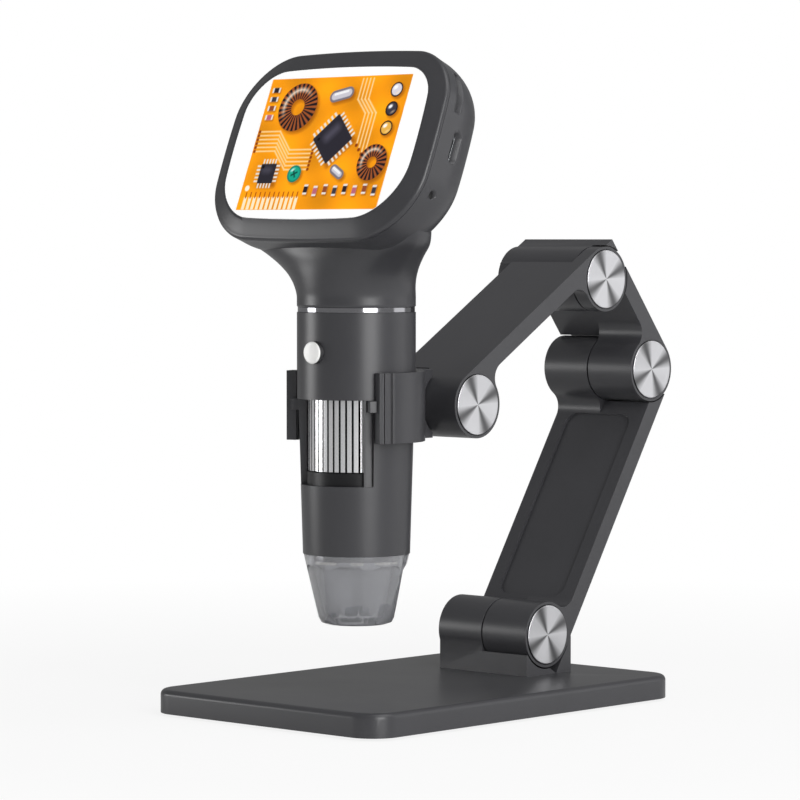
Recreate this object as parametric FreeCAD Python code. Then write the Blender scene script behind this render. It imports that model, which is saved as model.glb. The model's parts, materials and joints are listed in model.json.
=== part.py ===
import FreeCAD, Part
import math
import os

# Handheld digital microscope with a screen, held in a clip on a folding stand.
# Millimetres. Z is up, the screen faces -Y, and the stand's mid-plane is x = 0.
# The origin is the middle of the base, on the surface that the stand rests on.
# The microscope hangs plumb in its clip, its barrel on a vertical axis.

# Base
base_width = 91.7
base_depth = 134.7
base_corner_radius = 9.0
base_wall_height = 5.3
base_crown = 1.7
base_skin = 2.0
base_floor_thickness = 1.2
pad_thickness = 1.2
pad_stand = 0.8
pad_inset = 4.0
weight_thickness = 2.4
weight_margin = 14.0
screw_inset = 9.0
screw_radius = 1.25
screw_head_height = 0.7

# Hinges, all with their axes along X
hinge_width = 35.4
knuckle_radius = 10.0
arm_thickness = 5.3
seat_gap = 0.45
fillet_radius = 5.0
side_gap = 0.6
cap_radius = 9.0
cap_thickness = 1.2
cap_proud = 0.4
cap_clearance = 0.2
bolt_radius = 2.0
bolt_clearance = 0.05
bolt_head_radius = 3.5
bolt_head_height = 4.0
bolt_head_clearance = 0.3
bolt_head_depth = 1.0
socket_radius = 1.5
socket_depth = 2.0
nut_radius = 3.6
nut_height = 3.2
washer_radius = 7.0

# Where the arms stand in the photograph, as angles from +Y towards +Z
block_axis_y = 39.1
block_axis_height = 12.1
lower_arm_angle = 57.85
lower_arm_length = 93.8
link_angle = 128.2
link_length = 36.1
upper_arm_angle = 211.7
upper_arm_length = 70.0
upper_arm_left = 11.5
ear_thickness = 5.4
block_front = 9.4
block_rear = 11.3
block_seat_front = 5.6
heel_drop = 1.2
panel_half_width = 13.0
panel_depth = 0.9
panel_bottom_margin = 15.0
panel_top_margin = 14.0
panel_corner = 4.0

# Clip
clip_reach = 33.5
clip_height = 20.5
clip_below_axis = 10.0
clip_bore_radius = 17.85
clip_wall = 2.35
clip_tip_angle = 68.5
clip_opening_angle = 62.5
clip_root_right = 5.5
clip_tip_thickness = 3.4
clip_tip_width = 5.0
nub_width = 1.9
nub_height = 3.4
nub_reach = 1.9
tongue_thickness = 1.65
rib_depth = 0.5

# Barrel, nose and what turns in it
sleeve_radius = 17.44
sleeve_height = 25.3
sleeve_skin = 1.6
barrel_top_radius = 17.1
barrel_bottom_radius = 15.75
barrel_height = 45.5
barrel_bore_radius = 14.6
window_half_angle = 51.0
window_height = 25.1
groove_angle = 57.0
groove_width = 2.3
groove_floor_radius = 15.1
ring_radius = 14.2
ring_height = 24.0
ring_rib_count = 46
ring_groove_share = 0.32
ring_rib_depth = 0.5
ring_window_height = 21.0
run_clearance = 0.06
inner_tube_radius = 12.4
inner_tube_wall = 1.4
carriage_wall = 1.6
carriage_height = 14.0
focus_travel = 5.0
pin_radius = 1.0
nose_height = 20.7
nose_rim_height = 2.0
nose_top_radius = 15.55
nose_bottom_radius = 11.2
nose_wall = 2.6
nose_spigot = 4.0
flute_count = 7
flute_first_angle = 32.3
flute_depth = 1.3
flute_foot_depth = 0.2
flute_width = 12.3
flute_corner = 4.4
flute_top_margin = 2.9
lip_rest_gap = 0.1

# Trim ring and neck
trim_height = 1.55
trim_radius = 17.2
neck_skin = 2.0

# Shutter button
button_radius = 3.25
button_proud = 1.7
button_travel = 0.8
button_height = 13.75
button_clearance = 0.08

# Screen head, leaning back
head_lean = 22.15
head_centre_above_trim = 47.65
head_centre_forward = 13.9
head_half_width = 42.0
head_half_height = 29.9
head_depth = 22.4
bezel_depth = 3.0
bezel_slope = 1.9
head_skin = 1.8
head_corner_radius = 17.0
glass_half_width = 36.4
glass_half_height = 23.9
glass_corner_radius = 12.0
glass_thickness = 1.6
picture_width = 56.4
picture_height = 41.7
display_thickness = 2.6
board_thickness = 1.6
battery_thickness = 5.2
port_width = 9.2
port_height = 3.3
port_up = 2.0
port_deep = 10.6
card_width = 12.0
card_slot_height = 1.4
card_up = 18.0
card_deep = 8.0
lamp_radius = 1.15
lamp_up = -13.6
lamp_deep = 7.6

os.makedirs("parts", exist_ok=True)

X_AXIS = FreeCAD.Vector(1, 0, 0)
Z_AXIS = FreeCAD.Vector(0, 0, 1)


def vec(x, y, z):
    return FreeCAD.Vector(x, y, z)


def save(name, shape):
    shape = shape.removeSplitter()
    if shape.ShapeType == "Compound" and len(shape.Solids) == 1:
        shape = shape.Solids[0]
    shape.exportStep("parts/" + name + ".step")
    print(name, len(shape.Solids), round(shape.Volume, 1), shape.isValid())


def fuse(*shapes):
    return shapes[0].fuse(list(shapes[1:]))


def cut(shape, *tools):
    return shape.cut(list(tools))


def rod(start_x, end_x, centre, radius):
    """A cylinder along X; centre is (y, z)."""
    return Part.makeCylinder(radius, end_x - start_x, vec(start_x, centre[0], centre[1]), X_AXIS)


def post(x, y, low, high, radius):
    """A cylinder along Z."""
    return Part.makeCylinder(radius, high - low, vec(x, y, low), Z_AXIS)


def block(low, high):
    """A box between two opposite corners."""
    return Part.makeBox(high[0] - low[0], high[1] - low[1], high[2] - low[2], vec(*low))


def turned(profile, x, y, bottom):
    """A solid of revolution about the vertical through (x, y) from (radius, height) points."""
    points = [vec(x + r, y, bottom + h) for r, h in profile]
    face = Part.Face(Part.makePolygon(points + [points[0]]))
    return face.revolve(vec(x, y, 0), Z_AXIS, 360)


def tube(x, y, low, high, outer, inner):
    return cut(post(x, y, low, high, outer), post(x, y, low, high, inner))


def rounded_plate(half_x, half_y, radius, low, high):
    """An upright plate with rounded corners, about the Z axis."""
    plate = block((-half_x, -half_y, low), (half_x, half_y, high))
    upright = [e for e in plate.Edges if abs(e.tangentAt(e.FirstParameter).z) > 0.99]
    return plate.makeFillet(radius, upright)


# Hinge places
base_top = pad_stand + base_wall_height + base_crown
hinge_half = hinge_width / 2.0
base_axis = (block_axis_y, base_top + block_axis_height)


def step_from(point, length, degrees):
    turn = math.radians(degrees)
    return (point[0] + length * math.cos(turn), point[1] + length * math.sin(turn))


elbow_axis = step_from(base_axis, lower_arm_length, lower_arm_angle)
top_axis = step_from(elbow_axis, link_length, link_angle)
clip_axis = step_from(top_axis, upper_arm_length, upper_arm_angle)
barrel_y = clip_axis[0] - clip_reach
clip_bottom = clip_axis[1] - clip_below_axis
clip_top = clip_bottom + clip_height
inner_face = knuckle_radius - arm_thickness


class ArmPlane:
    """Places (along, out) of an arm in the YZ plane; out points away from the C of the arms."""

    def __init__(self, start, degrees, out_sign):
        turn = math.radians(degrees)
        self.start = start
        self.along = (math.cos(turn), math.sin(turn))
        self.out = (-math.sin(turn) * out_sign, math.cos(turn) * out_sign)

    def at(self, along, out, x=0.0):
        y = self.start[0] + along * self.along[0] + out * self.out[0]
        z = self.start[1] + along * self.along[1] + out * self.out[1]
        return vec(x, y, z)

    def prism(self, points, start_x, end_x):
        """A prism along X over (along, out) points."""
        corners = [self.at(a, o, start_x) for a, o in points]
        face = Part.Face(Part.makePolygon(corners + [corners[0]]))
        return face.extrude(vec(end_x - start_x, 0, 0))

    def slab(self, first, last, low, high, start_x, end_x):
        points = [(first, low), (last, low), (last, high), (first, high)]
        return self.prism(points, start_x, end_x)

    def web(self, hinge, sign, start_x, end_x):
        """The hollow corner between a knuckle and the arm's inner face, filled to a fillet."""
        reach = math.sqrt((knuckle_radius + fillet_radius) ** 2 - (inner_face - fillet_radius) ** 2)
        centre = (hinge + sign * reach, inner_face - fillet_radius)
        share = knuckle_radius / (knuckle_radius + fillet_radius)
        touch = (hinge + sign * reach * share, centre[1] * share)
        middle_angle = 0.5 * (
            math.pi / 2 + math.atan2(touch[1] - centre[1], (touch[0] - centre[0]) * -sign)
        )
        middle = (
            centre[0] - sign * fillet_radius * math.cos(middle_angle),
            centre[1] + fillet_radius * math.sin(middle_angle),
        )
        flat = (centre[0], inner_face)
        arc = Part.Arc(self.at(*touch, start_x), self.at(*middle, start_x), self.at(*flat, start_x))
        deep = inner_face + 0.5
        lines = Part.makePolygon(
            [self.at(*flat, start_x), self.at(centre[0], deep, start_x), self.at(hinge, deep, start_x),
             self.at(hinge, 0, start_x), self.at(*touch, start_x)]
        )
        face = Part.Face(Part.Wire([arc.toShape()] + lines.Edges))
        return face.extrude(vec(end_x - start_x, 0, 0))


lower_plane = ArmPlane(base_axis, lower_arm_angle, -1)
link_plane = ArmPlane(elbow_axis, link_angle, -1)
upper_plane = ArmPlane(top_axis, upper_arm_angle, -1)

# The washer sits where the two knuckles of a hinge meet
washer_thickness = side_gap


def knuckle_bore(axis, split_x):
    """Cuts for the half that carries the cap, the nut and the bolt's thread."""
    cap_seat = rod(hinge_half - cap_thickness + cap_proud, hinge_half + 1, axis, cap_radius + cap_clearance)
    nut_floor = hinge_half - cap_thickness + cap_proud - nut_height
    nut_room = hex_rod(nut_floor, hinge_half, axis, nut_radius + bolt_clearance)
    shank = rod(split_x - 1, hinge_half, axis, bolt_radius + bolt_clearance)
    return [cap_seat, nut_room, shank]


def plain_bore(axis, split_x):
    """Cuts for the half that turns on the bolt, with a recess for the bolt's head."""
    shank = rod(-hinge_half - 1, split_x + 1, axis, bolt_radius + bolt_clearance)
    head_end = -hinge_half + bolt_head_depth + bolt_head_height
    recess = rod(-hinge_half - 1, head_end + bolt_clearance, axis, bolt_head_radius + bolt_head_clearance)
    return [shank, recess]


def hex_rod(start_x, end_x, axis, radius):
    points = []
    for side in range(7):
        turn = math.radians(60 * side)
        points.append(vec(start_x, axis[0] + radius * math.cos(turn), axis[1] + radius * math.sin(turn)))
    return Part.Face(Part.makePolygon(points)).extrude(vec(end_x - start_x, 0, 0))


def hinge_hardware(name, axis, split_x):
    """The spun cap, the bolt, the nut and the friction washer of one hinge."""
    cap_inside = hinge_half - cap_thickness + cap_proud
    cap = rod(cap_inside, hinge_half + cap_proud, axis, cap_radius)
    rim = [e for e in cap.Edges if abs(e.CenterOfMass.x - hinge_half - cap_proud) < 0.01 and e.Length > 10]
    cap = cap.makeChamfer(0.25, rim)
    save(name + "_hinge_cap", cap)
    head_start = -hinge_half + bolt_head_depth
    shank_end = cap_inside - 0.3
    head = rod(head_start, head_start + bolt_head_height, axis, bolt_head_radius)
    shank = rod(head_start, shank_end, axis, bolt_radius)
    socket = hex_rod(head_start - 1, head_start + socket_depth, axis, socket_radius)
    save(name + "_hinge_bolt", cut(fuse(head, shank), socket))
    nut = hex_rod(cap_inside - nut_height, cap_inside - 0.4, axis, nut_radius)
    save(name + "_hinge_nut", cut(nut, rod(0, hinge_half + 1, axis, bolt_radius)))
    half_gap = side_gap / 2.0
    washer = rod(split_x - half_gap, split_x + half_gap - 0.05, axis, washer_radius)
    washer = cut(washer, rod(split_x - 2, split_x + 2, axis, bolt_radius + bolt_clearance))
    save(name + "_hinge_washer", washer)


seat_radius = knuckle_radius + seat_gap
half_gap = side_gap / 2.0
link_right = hinge_half - ear_thickness
ear_split = link_right + half_gap


def make_base():
    low = pad_stand
    half_x = base_width / 2.0
    half_y = base_depth / 2.0
    wall_top = low + base_wall_height
    body = rounded_plate(half_x, half_y, base_corner_radius, low, base_top)
    top_edges = [e for e in body.Edges if abs(e.BoundBox.ZMin - base_top) < 1e-6]
    body = body.makeFillet(base_crown, top_edges)
    hollow = rounded_plate(
        half_x - base_skin, half_y - base_skin, base_corner_radius - base_skin, low - 1, wall_top - 0.6
    )
    bosses = [post(x, y, low + base_floor_thickness, wall_top, 3.2) for x, y in screw_places()]
    shell = fuse(cut(body, hollow), *bosses)
    y, z = base_axis
    front = y - block_front
    rear = y + block_rear
    left = block((-hinge_half, front, base_top - 1.0), (-half_gap, rear, z))
    left = fuse(left, rod(-hinge_half, -half_gap, base_axis, knuckle_radius))
    right = block((-half_gap, front, base_top - 1.0), (hinge_half, rear, z))
    front_notch = block((-half_gap, front - 1, z - block_seat_front), (hinge_half + 1, y, z + 1))
    right = cut(right, front_notch, rod(-half_gap, hinge_half + 1, base_axis, seat_radius))
    rear_lean = lower_plane.slab(-8, 40, inner_face - 2, knuckle_radius + 0.15, -half_gap, hinge_half + 1)
    right = cut(right, rear_lean)
    left_lean = lower_plane.slab(-8, 40, inner_face, knuckle_radius + 0.15, -hinge_half - 1, -half_gap)
    left_keep = rod(-hinge_half, -half_gap, base_axis, knuckle_radius)
    left = fuse(cut(left, left_lean), left_keep)
    cover = cut(fuse(shell, left, right), *plain_bore(base_axis, 0.0))
    cover = cut(cover, *[post(x, y, low - 1, wall_top - 0.8, screw_radius) for x, y in screw_places()])
    save("base_cover", cover)

    plate = rounded_plate(
        half_x - base_skin - 0.1, half_y - base_skin - 0.1, base_corner_radius - base_skin, low,
        low + base_floor_thickness,
    )
    holes = [post(x, y, low - 1, low + 3, 1.6) for x, y in screw_places()]
    sinks = [post(x, y, low - 1, low + screw_head_height, 2.9) for x, y in screw_places()]
    recess = rounded_plate(pad_half_x(), pad_half_y(), 5.0, low - 1, low + pad_thickness - pad_stand)
    save("base_floor", cut(plate, recess, *(holes + sinks)))

    weight = rounded_plate(
        half_x - weight_margin, half_y - weight_margin, 3.0, low + base_floor_thickness,
        low + base_floor_thickness + weight_thickness,
    )
    save("base_weight", weight)

    screws = []
    for x, y in screw_places():
        head = post(x, y, low, low + screw_head_height, 2.7)
        shank = post(x, y, low, wall_top - 1.4, screw_radius)
        cross = block((x - 1.2, y - 0.3, low - 1), (x + 1.2, y + 0.3, low + 0.4))
        screws.append(cut(fuse(head, shank), cross))
    save("base_screws", Part.makeCompound(screws))

    save("grip_pad", rounded_plate(pad_half_x() - 0.1, pad_half_y() - 0.1, 4.9, 0, pad_thickness))


def pad_half_x():
    return base_width / 2.0 - pad_inset - screw_inset


def pad_half_y():
    return base_depth / 2.0 - pad_inset


def screw_places():
    x = base_width / 2.0 - screw_inset
    y = base_depth / 2.0 - screw_inset
    return [(x, y), (-x, y), (x, -y), (-x, -y)]


def make_lower_arm():
    plane = lower_plane
    length = lower_arm_length
    body = plane.slab(0, length, inner_face, knuckle_radius, -hinge_half, hinge_half)
    # The left half clears the base's knuckle, the right half the link's
    body = cut(body, rod(-hinge_half - 1, half_gap, base_axis, seat_radius))
    body = cut(body, plane.slab(-1, seat_radius * 0.55, 0, knuckle_radius + 1, -hinge_half - 1, half_gap))
    body = cut(body, rod(-half_gap, hinge_half + 1, elbow_axis, seat_radius))
    body = cut(
        body, plane.slab(length - 2, length + 1, 0, knuckle_radius + 1, -half_gap, hinge_half + 1)
    )
    body = fuse(body, rod(half_gap, hinge_half, base_axis, knuckle_radius), plane.web(0, 1, half_gap, hinge_half))
    elbow_end = plane.web(length, -1, -hinge_half, -half_gap)
    body = fuse(body, rod(-hinge_half, -half_gap, elbow_axis, knuckle_radius), elbow_end)
    recess = plane.slab(
        panel_bottom_margin, length - panel_top_margin, inner_face - 1, inner_face + panel_depth,
        -panel_half_width, panel_half_width,
    )
    direction = plane.at(0, 1) - plane.at(0, 0)
    sharp = [e for e in recess.Edges if abs(abs(e.tangentAt(e.FirstParameter).dot(direction)) - 1) < 1e-6]
    body = cut(body, recess.makeFillet(panel_corner, sharp))
    body = cut(body, *knuckle_bore(base_axis, 0.0))
    save("lower_arm", cut(body, *plain_bore(elbow_axis, 0.0)))


def make_link():
    plane = link_plane
    length = link_length
    body = plane.slab(0, length, inner_face, knuckle_radius, -hinge_half, hinge_half)
    body = cut(body, rod(-hinge_half - 1, half_gap, elbow_axis, seat_radius))
    body = cut(body, plane.slab(-1, 2, 0, knuckle_radius + 1, -hinge_half - 1, half_gap))
    body = fuse(body, rod(half_gap, hinge_half, elbow_axis, knuckle_radius))
    body = fuse(body, plane.web(0, 1, half_gap, hinge_half), plane.web(length, -1, -hinge_half, link_right))
    body = fuse(body, rod(-hinge_half, link_right, top_axis, knuckle_radius))
    # The squared heel over the top hinge, flat along the upper arm and along the link
    heel_out = knuckle_radius - heel_drop
    corner = meet(plane, knuckle_radius, upper_plane, heel_out)
    front = upper_plane.at(5.2, heel_out)
    under = upper_plane.at(5.2, 3.0)
    back = plane.at(length - 2, knuckle_radius)
    inside = plane.at(length - 2, 3.0)
    corners = [front, corner, back, inside, under]
    heel = Part.Face(Part.makePolygon(corners + [front]))
    heel.translate(vec(-hinge_half, 0, 0))
    body = fuse(body, heel.extrude(vec(hinge_width, 0, 0)))
    body = cut(body, rod(link_right, hinge_half + 1, top_axis, seat_radius))
    sweep = upper_plane.slab(0, 30, -20, heel_out + 1, link_right, hinge_half + 1)
    body = cut(body, cut(sweep, rod(-1, hinge_half + 2, elbow_axis, knuckle_radius + 12)))
    body = cut(body, *plain_bore(top_axis, link_right))
    save("short_link", cut(body, *knuckle_bore(elbow_axis, 0.0)))


def meet(first, first_out, second, second_out):
    """The point that lies at one height over each of two arm planes."""
    a = first.out
    b = second.out
    p = first.start[0] * a[0] + first.start[1] * a[1] + first_out
    q = second.start[0] * b[0] + second.start[1] * b[1] + second_out
    det = a[0] * b[1] - a[1] * b[0]
    return vec(0, (p * b[1] - q * a[1]) / det, (a[0] * q - b[0] * p) / det)


def make_upper_arm():
    plane = upper_plane
    length = upper_arm_length
    slab_start = 6.2
    body = plane.slab(slab_start, length, inner_face, knuckle_radius, -upper_arm_left, hinge_half)
    body = cut(body, rod(-hinge_half, ear_split, top_axis, seat_radius))
    ear_left = ear_split + half_gap
    ear = fuse(
        plane.slab(0, slab_start + 1, inner_face, knuckle_radius, ear_left, hinge_half),
        rod(ear_left, hinge_half, top_axis, knuckle_radius),
        plane.web(0, 1, ear_left, hinge_half),
    )
    lug_side = cut(
        fuse(rod(half_gap, hinge_half, clip_axis, knuckle_radius), plane.web(length, -1, half_gap, hinge_half)),
        rod(half_gap, hinge_half, clip_axis, 0.5),
    )
    body = cut(body, rod(-hinge_half - 1, half_gap, clip_axis, seat_radius))
    body = cut(
        body, plane.slab(length - 4, length + 1, 0, knuckle_radius + 1, -hinge_half - 1, half_gap)
    )
    body = fuse(body, ear, lug_side)
    body = cut(body, *knuckle_bore(clip_axis, 0.0))
    save("upper_arm", cut(body, *knuckle_bore(top_axis, ear_split)))


def angle_point(radius, degrees, z):
    """A point round the barrel; 0 degrees is the front, positive turns towards +X."""
    turn = math.radians(degrees)
    return vec(radius * math.sin(turn), barrel_y - radius * math.cos(turn), z)


def sector(radius, half_angle, low, high):
    """A wedge about the barrel axis, open to the front."""
    far = radius / math.cos(math.radians(half_angle) / 2.0)
    points = [angle_point(0, 0, low)]
    for step in range(-2, 3):
        points.append(angle_point(far, half_angle * step / 2.0, low))
    face = Part.Face(Part.makePolygon(points + [points[0]]))
    return face.extrude(vec(0, 0, high - low))


def radial_bar(degrees, inner, outer, width, low, high):
    """A bar that points out from the barrel axis."""
    bar = block((-width / 2.0, -outer, low), (width / 2.0, -inner, high))
    bar.rotate(vec(0, 0, 0), Z_AXIS, degrees)
    bar.translate(vec(0, barrel_y, 0))
    return bar


nub_top = clip_axis[1] + 2.4
nub_low = nub_top - nub_height
lip = nub_top + lip_rest_gap


def make_clip():
    outer = clip_bore_radius + clip_wall
    ring = tube(0, barrel_y, clip_bottom, clip_top, outer, clip_bore_radius)
    ring = cut(ring, sector(outer * 1.5, clip_opening_angle, clip_bottom - 1, clip_top + 1))
    # A short tongue carries each nub from its tip round to the barrel's groove
    tongues = tube(0, barrel_y, nub_low, nub_top, clip_bore_radius + tongue_thickness, clip_bore_radius)
    tongues = tongues.common(sector(outer * 1.5, clip_tip_angle - 2, nub_low, nub_top))
    tongues = cut(tongues, sector(outer * 1.5, groove_angle - 2, nub_low - 1, nub_top + 1))
    tips = [tongues]
    for side in (-1, 1):
        bar = radial_bar(
            side * clip_tip_angle, clip_bore_radius + 0.2, clip_bore_radius + clip_tip_thickness,
            clip_tip_width, clip_bottom, clip_top,
        )
        grooves = [
            radial_bar(
                side * (clip_tip_angle + shift), clip_bore_radius + clip_tip_thickness - rib_depth,
                clip_bore_radius + clip_tip_thickness + 1, 0.7, clip_bottom - 1, clip_top + 1,
            )
            for shift in (-3.3, 3.3)
        ]
        nub = radial_bar(
            side * groove_angle, clip_bore_radius - nub_reach, clip_bore_radius + 1.0, nub_width,
            nub_low, nub_top,
        )
        tips += [cut(bar, *grooves), nub]
    back_y = barrel_y + clip_bore_radius
    y, z = clip_axis
    root = block((-hinge_half + 2, back_y, clip_bottom), (clip_root_right, y - 6.2, clip_top))
    root = cut(root, post(0, barrel_y, clip_bottom - 1, clip_top + 1, clip_bore_radius + clip_wall / 2.0))
    root = cut(root, rod(half_gap - side_gap, hinge_half + 1, clip_axis, seat_radius))
    lug = fuse(
        rod(-hinge_half, -half_gap, clip_axis, knuckle_radius),
        block((-hinge_half, y - 11.0, clip_bottom), (-half_gap, y, z + 2.0)),
    )
    arm_path = upper_plane.slab(-10, 90, inner_face - 0.4, 30, -hinge_half - 2, half_gap)
    arm_path = cut(arm_path, rod(-hinge_half - 3, half_gap + 1, clip_axis, knuckle_radius))
    lug = cut(lug, arm_path, post(0, barrel_y, clip_bottom - 1, clip_top + 1, clip_bore_radius + 1.0))
    body = fuse(ring, root, lug, *tips)
    save("clip", cut(body, *plain_bore(clip_axis, 0.0)))


barrel_top = lip
barrel_bottom = lip - barrel_height
window_low = lip - window_height
sleeve_top = lip + sleeve_height
trim_top = sleeve_top + trim_height


def make_barrel():
    y = barrel_y
    sleeve = tube(0, y, lip, sleeve_top, sleeve_radius, sleeve_radius - sleeve_skin)
    button_z = lip + button_height
    hole = Part.makeCylinder(
        button_radius + button_clearance, 10, vec(0, y - sleeve_radius - 2, button_z), vec(0, 1, 0)
    )
    save("grip_sleeve", cut(sleeve, hole))

    upper = sleeve_radius - sleeve_skin
    shell = turned(
        [(0, 0), (barrel_bottom_radius, 0), (barrel_top_radius, barrel_height), (upper, barrel_height),
         (upper, barrel_height + 8), (0, barrel_height + 8)], 0, y, barrel_bottom,
    )
    bore = post(0, y, barrel_bottom - 1, lip + 9, barrel_bore_radius)
    window = sector(40, window_half_angle, window_low, lip)
    shell = cut(shell, bore, window)
    grooves = [
        radial_bar(side * groove_angle, groove_floor_radius, 30, groove_width, window_low, lip)
        for side in (-1, 1)
    ]
    save("barrel_shell", cut(shell, *grooves))

    ring_low = lip - ring_window_height
    ring_high = ring_low + ring_height
    tube_top = guide_top()
    flange = barrel_bore_radius - 0.05
    bore_radius = inner_tube_radius - inner_tube_wall
    guide = turned(
        [(bore_radius, 0), (flange, 0), (flange, ring_low - 0.3 - window_low + 4), (inner_tube_radius,
         ring_low - 0.3 - window_low + 4), (inner_tube_radius, tube_top - window_low + 4),
         (bore_radius, tube_top - window_low + 4)], 0, y, window_low - 4,
    )
    slot_low = pin_height() - pin_radius - 0.15 - focus_travel
    slot_high = pin_height() + pin_radius + 0.15 + focus_travel
    slot = block((-pin_radius - 0.1, y + bore_radius - 1, slot_low),
                 (pin_radius + 0.1, y + inner_tube_radius + 1, slot_high))
    save("guide_tube", cut(guide, slot))

    ring = tube(0, y, ring_low, ring_high, ring_radius, inner_tube_radius + run_clearance)
    pin_end = inner_tube_radius + 0.7
    relief = tube(0, y, slot_low - 0.3, slot_high + 0.3, pin_end + 0.15, inner_tube_radius - 1)
    ribs = []
    ring_pitch = 2 * math.pi * ring_radius / ring_rib_count
    for rib in range(ring_rib_count):
        ribs.append(
            radial_bar(360.0 * rib / ring_rib_count, ring_radius - ring_rib_depth, ring_radius + 1,
                       ring_pitch * ring_groove_share, ring_low - 1, ring_high + 1)
        )
    save("focus_ring", cut(ring, relief, *ribs))

    carriage_outer = bore_radius - run_clearance
    carriage_low = pin_height() - carriage_height / 2.0
    carriage_high = carriage_low + carriage_height
    carriage = tube(0, y, carriage_low, carriage_high, carriage_outer, carriage_outer - carriage_wall)
    shelf = tube(0, y, carriage_low + 5, carriage_high - 5, carriage_outer - 1, 6.0)
    pin_hole = Part.makeCylinder(pin_radius, 8, vec(0, y + carriage_outer - 3, pin_height()), vec(0, 1, 0))
    save("lens_carriage", cut(fuse(carriage, shelf), pin_hole))
    pin = Part.makeCylinder(
        pin_radius, pin_end - carriage_outer + 1.5, vec(0, y + carriage_outer - 1.5, pin_height()),
        vec(0, 1, 0),
    )
    save("focus_pin", pin)
    lens_radius = carriage_outer - carriage_wall
    save("front_lens", lens(lens_radius, carriage_low + 0.6, 4.4, 24.0))
    save("rear_lens", lens(lens_radius, carriage_high - 5.0, 4.4, 24.0))

    save("sensor_board", post(0, y, tube_top, tube_top + board_thickness, sleeve_radius - sleeve_skin - 1.5))
    save("image_sensor", block((-5, y - 4, tube_top - 1.2), (5, y + 4, tube_top)))


def guide_top():
    return lip - ring_window_height + ring_height + 4.0


def pin_height():
    return lip - ring_window_height + ring_height / 2.0 + 1.0


def lens(radius, low, thickness, curve):
    """A round lens, domed on both sides."""
    disc = post(0, barrel_y, low, low + thickness, radius)
    top = Part.makeSphere(curve, vec(0, barrel_y, low + thickness - curve))
    under = Part.makeSphere(curve, vec(0, barrel_y, low + curve))
    return disc.common(top).common(under)


def flute_tools(low):
    """Flat cuts, arched and deepest at the top, that fade out towards the tip."""
    half = flute_width / 2.0
    run = nose_height - nose_rim_height
    spread = nose_top_radius - flute_depth - nose_bottom_radius + flute_foot_depth
    slope = math.atan2(spread, run)
    cone_length = run / math.cos(slope)
    top = cone_length - flute_top_margin
    shoulder = top - flute_corner
    side = flute_corner * math.sqrt(0.5)
    left = Part.Arc(
        vec(-half, 0, shoulder), vec(-half + flute_corner - side, 0, shoulder + side), vec(-half + flute_corner, 0, top)
    )
    right = Part.Arc(
        vec(half - flute_corner, 0, top), vec(half - flute_corner + side, 0, shoulder + side), vec(half, 0, shoulder)
    )
    edges = [
        Part.makeLine(vec(-half, 0, -8), vec(-half, 0, shoulder)), left.toShape(),
        Part.makeLine(vec(-half + flute_corner, 0, top), vec(half - flute_corner, 0, top)), right.toShape(),
        Part.makeLine(vec(half, 0, shoulder), vec(half, 0, -8)), Part.makeLine(vec(half, 0, -8), vec(-half, 0, -8)),
    ]
    tools = []
    for flute in range(flute_count):
        tool = Part.Face(Part.Wire(edges)).extrude(vec(0, -10, 0))
        tool.rotate(vec(0, 0, 0), X_AXIS, math.degrees(slope))
        tool.translate(vec(0, -nose_bottom_radius + flute_foot_depth, nose_rim_height))
        tool.rotate(vec(0, 0, 0), Z_AXIS, flute_first_angle + 360.0 * flute / flute_count)
        tool.translate(vec(0, barrel_y, low))
        tools.append(tool)
    return tools


def make_nose():
    y = barrel_y
    low = barrel_bottom - nose_height
    high = barrel_bottom
    drop = nose_height
    outer = turned(
        [(0, 0), (nose_bottom_radius - 2.2, 0), (nose_bottom_radius - 0.8, 0.5), (nose_bottom_radius, nose_rim_height),
         (nose_top_radius, drop), (0, drop)], 0, y, low,
    )
    inner = turned(
        [(0, -1), (nose_bottom_radius - nose_wall - 1.2, -1), (nose_bottom_radius - nose_wall - 1.2, 1.0),
         (nose_bottom_radius - nose_wall + 0.3, 3.0),
         (nose_top_radius - nose_wall, drop - 4.5), (nose_top_radius - nose_wall, drop + 1), (0, drop + 1)],
        0, y, low,
    )
    spigot = tube(0, y, high - 1, high + nose_spigot, barrel_bore_radius - 0.1, nose_top_radius - nose_wall)
    body = fuse(cut(outer, *flute_tools(low)), spigot)
    save("nose_cone", cut(body, inner))

    board = tube(0, y, high - 1.6, high - 0.2, nose_top_radius - nose_wall - 0.1, 7.5)
    save("lamp_board", board)
    lamps = []
    for lamp in range(8):
        spot = angle_point(10.6, 360.0 * lamp / 8.0, 0)
        lamps.append(block((spot.x - 1.2, spot.y - 1.2, high - 2.5), (spot.x + 1.2, spot.y + 1.2, high - 1.6)))
    save("lamps", Part.makeCompound(lamps))


def make_button():
    y = barrel_y - sleeve_radius
    z = lip + button_height
    stem_end = y + sleeve_skin + 2.0
    flange_start = y + sleeve_skin + 0.75
    body = Part.makeCylinder(
        button_radius, flange_start + 0.3 - y + button_proud, vec(0, y - button_proud, z), vec(0, 1, 0)
    )
    rim = [e for e in body.Edges if abs(e.CenterOfMass.y - y + button_proud) < 0.01 and e.Length > 10]
    body = body.makeFillet(0.5, rim)
    flange = Part.makeCylinder(button_radius + 0.8, 0.7, vec(0, flange_start, z), vec(0, 1, 0))
    stem = Part.makeCylinder(1.2, stem_end - y - 1.0, vec(0, y + 1.0, z), vec(0, 1, 0))
    save("shutter_button", fuse(body, flange, stem))
    switch_front = stem_end + button_travel + 0.05
    save("button_switch", block((-3, switch_front, z - 3), (3, switch_front + 2.4, z + 3)))
    depth = switch_front + 2.4
    board_low = guide_top() + board_thickness
    save("button_board", block((-7, depth, board_low), (7, depth + 1.2, z + 8)))


head_turn = math.radians(head_lean)
head_centre = (barrel_y - head_centre_forward, trim_top + head_centre_above_trim)


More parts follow.
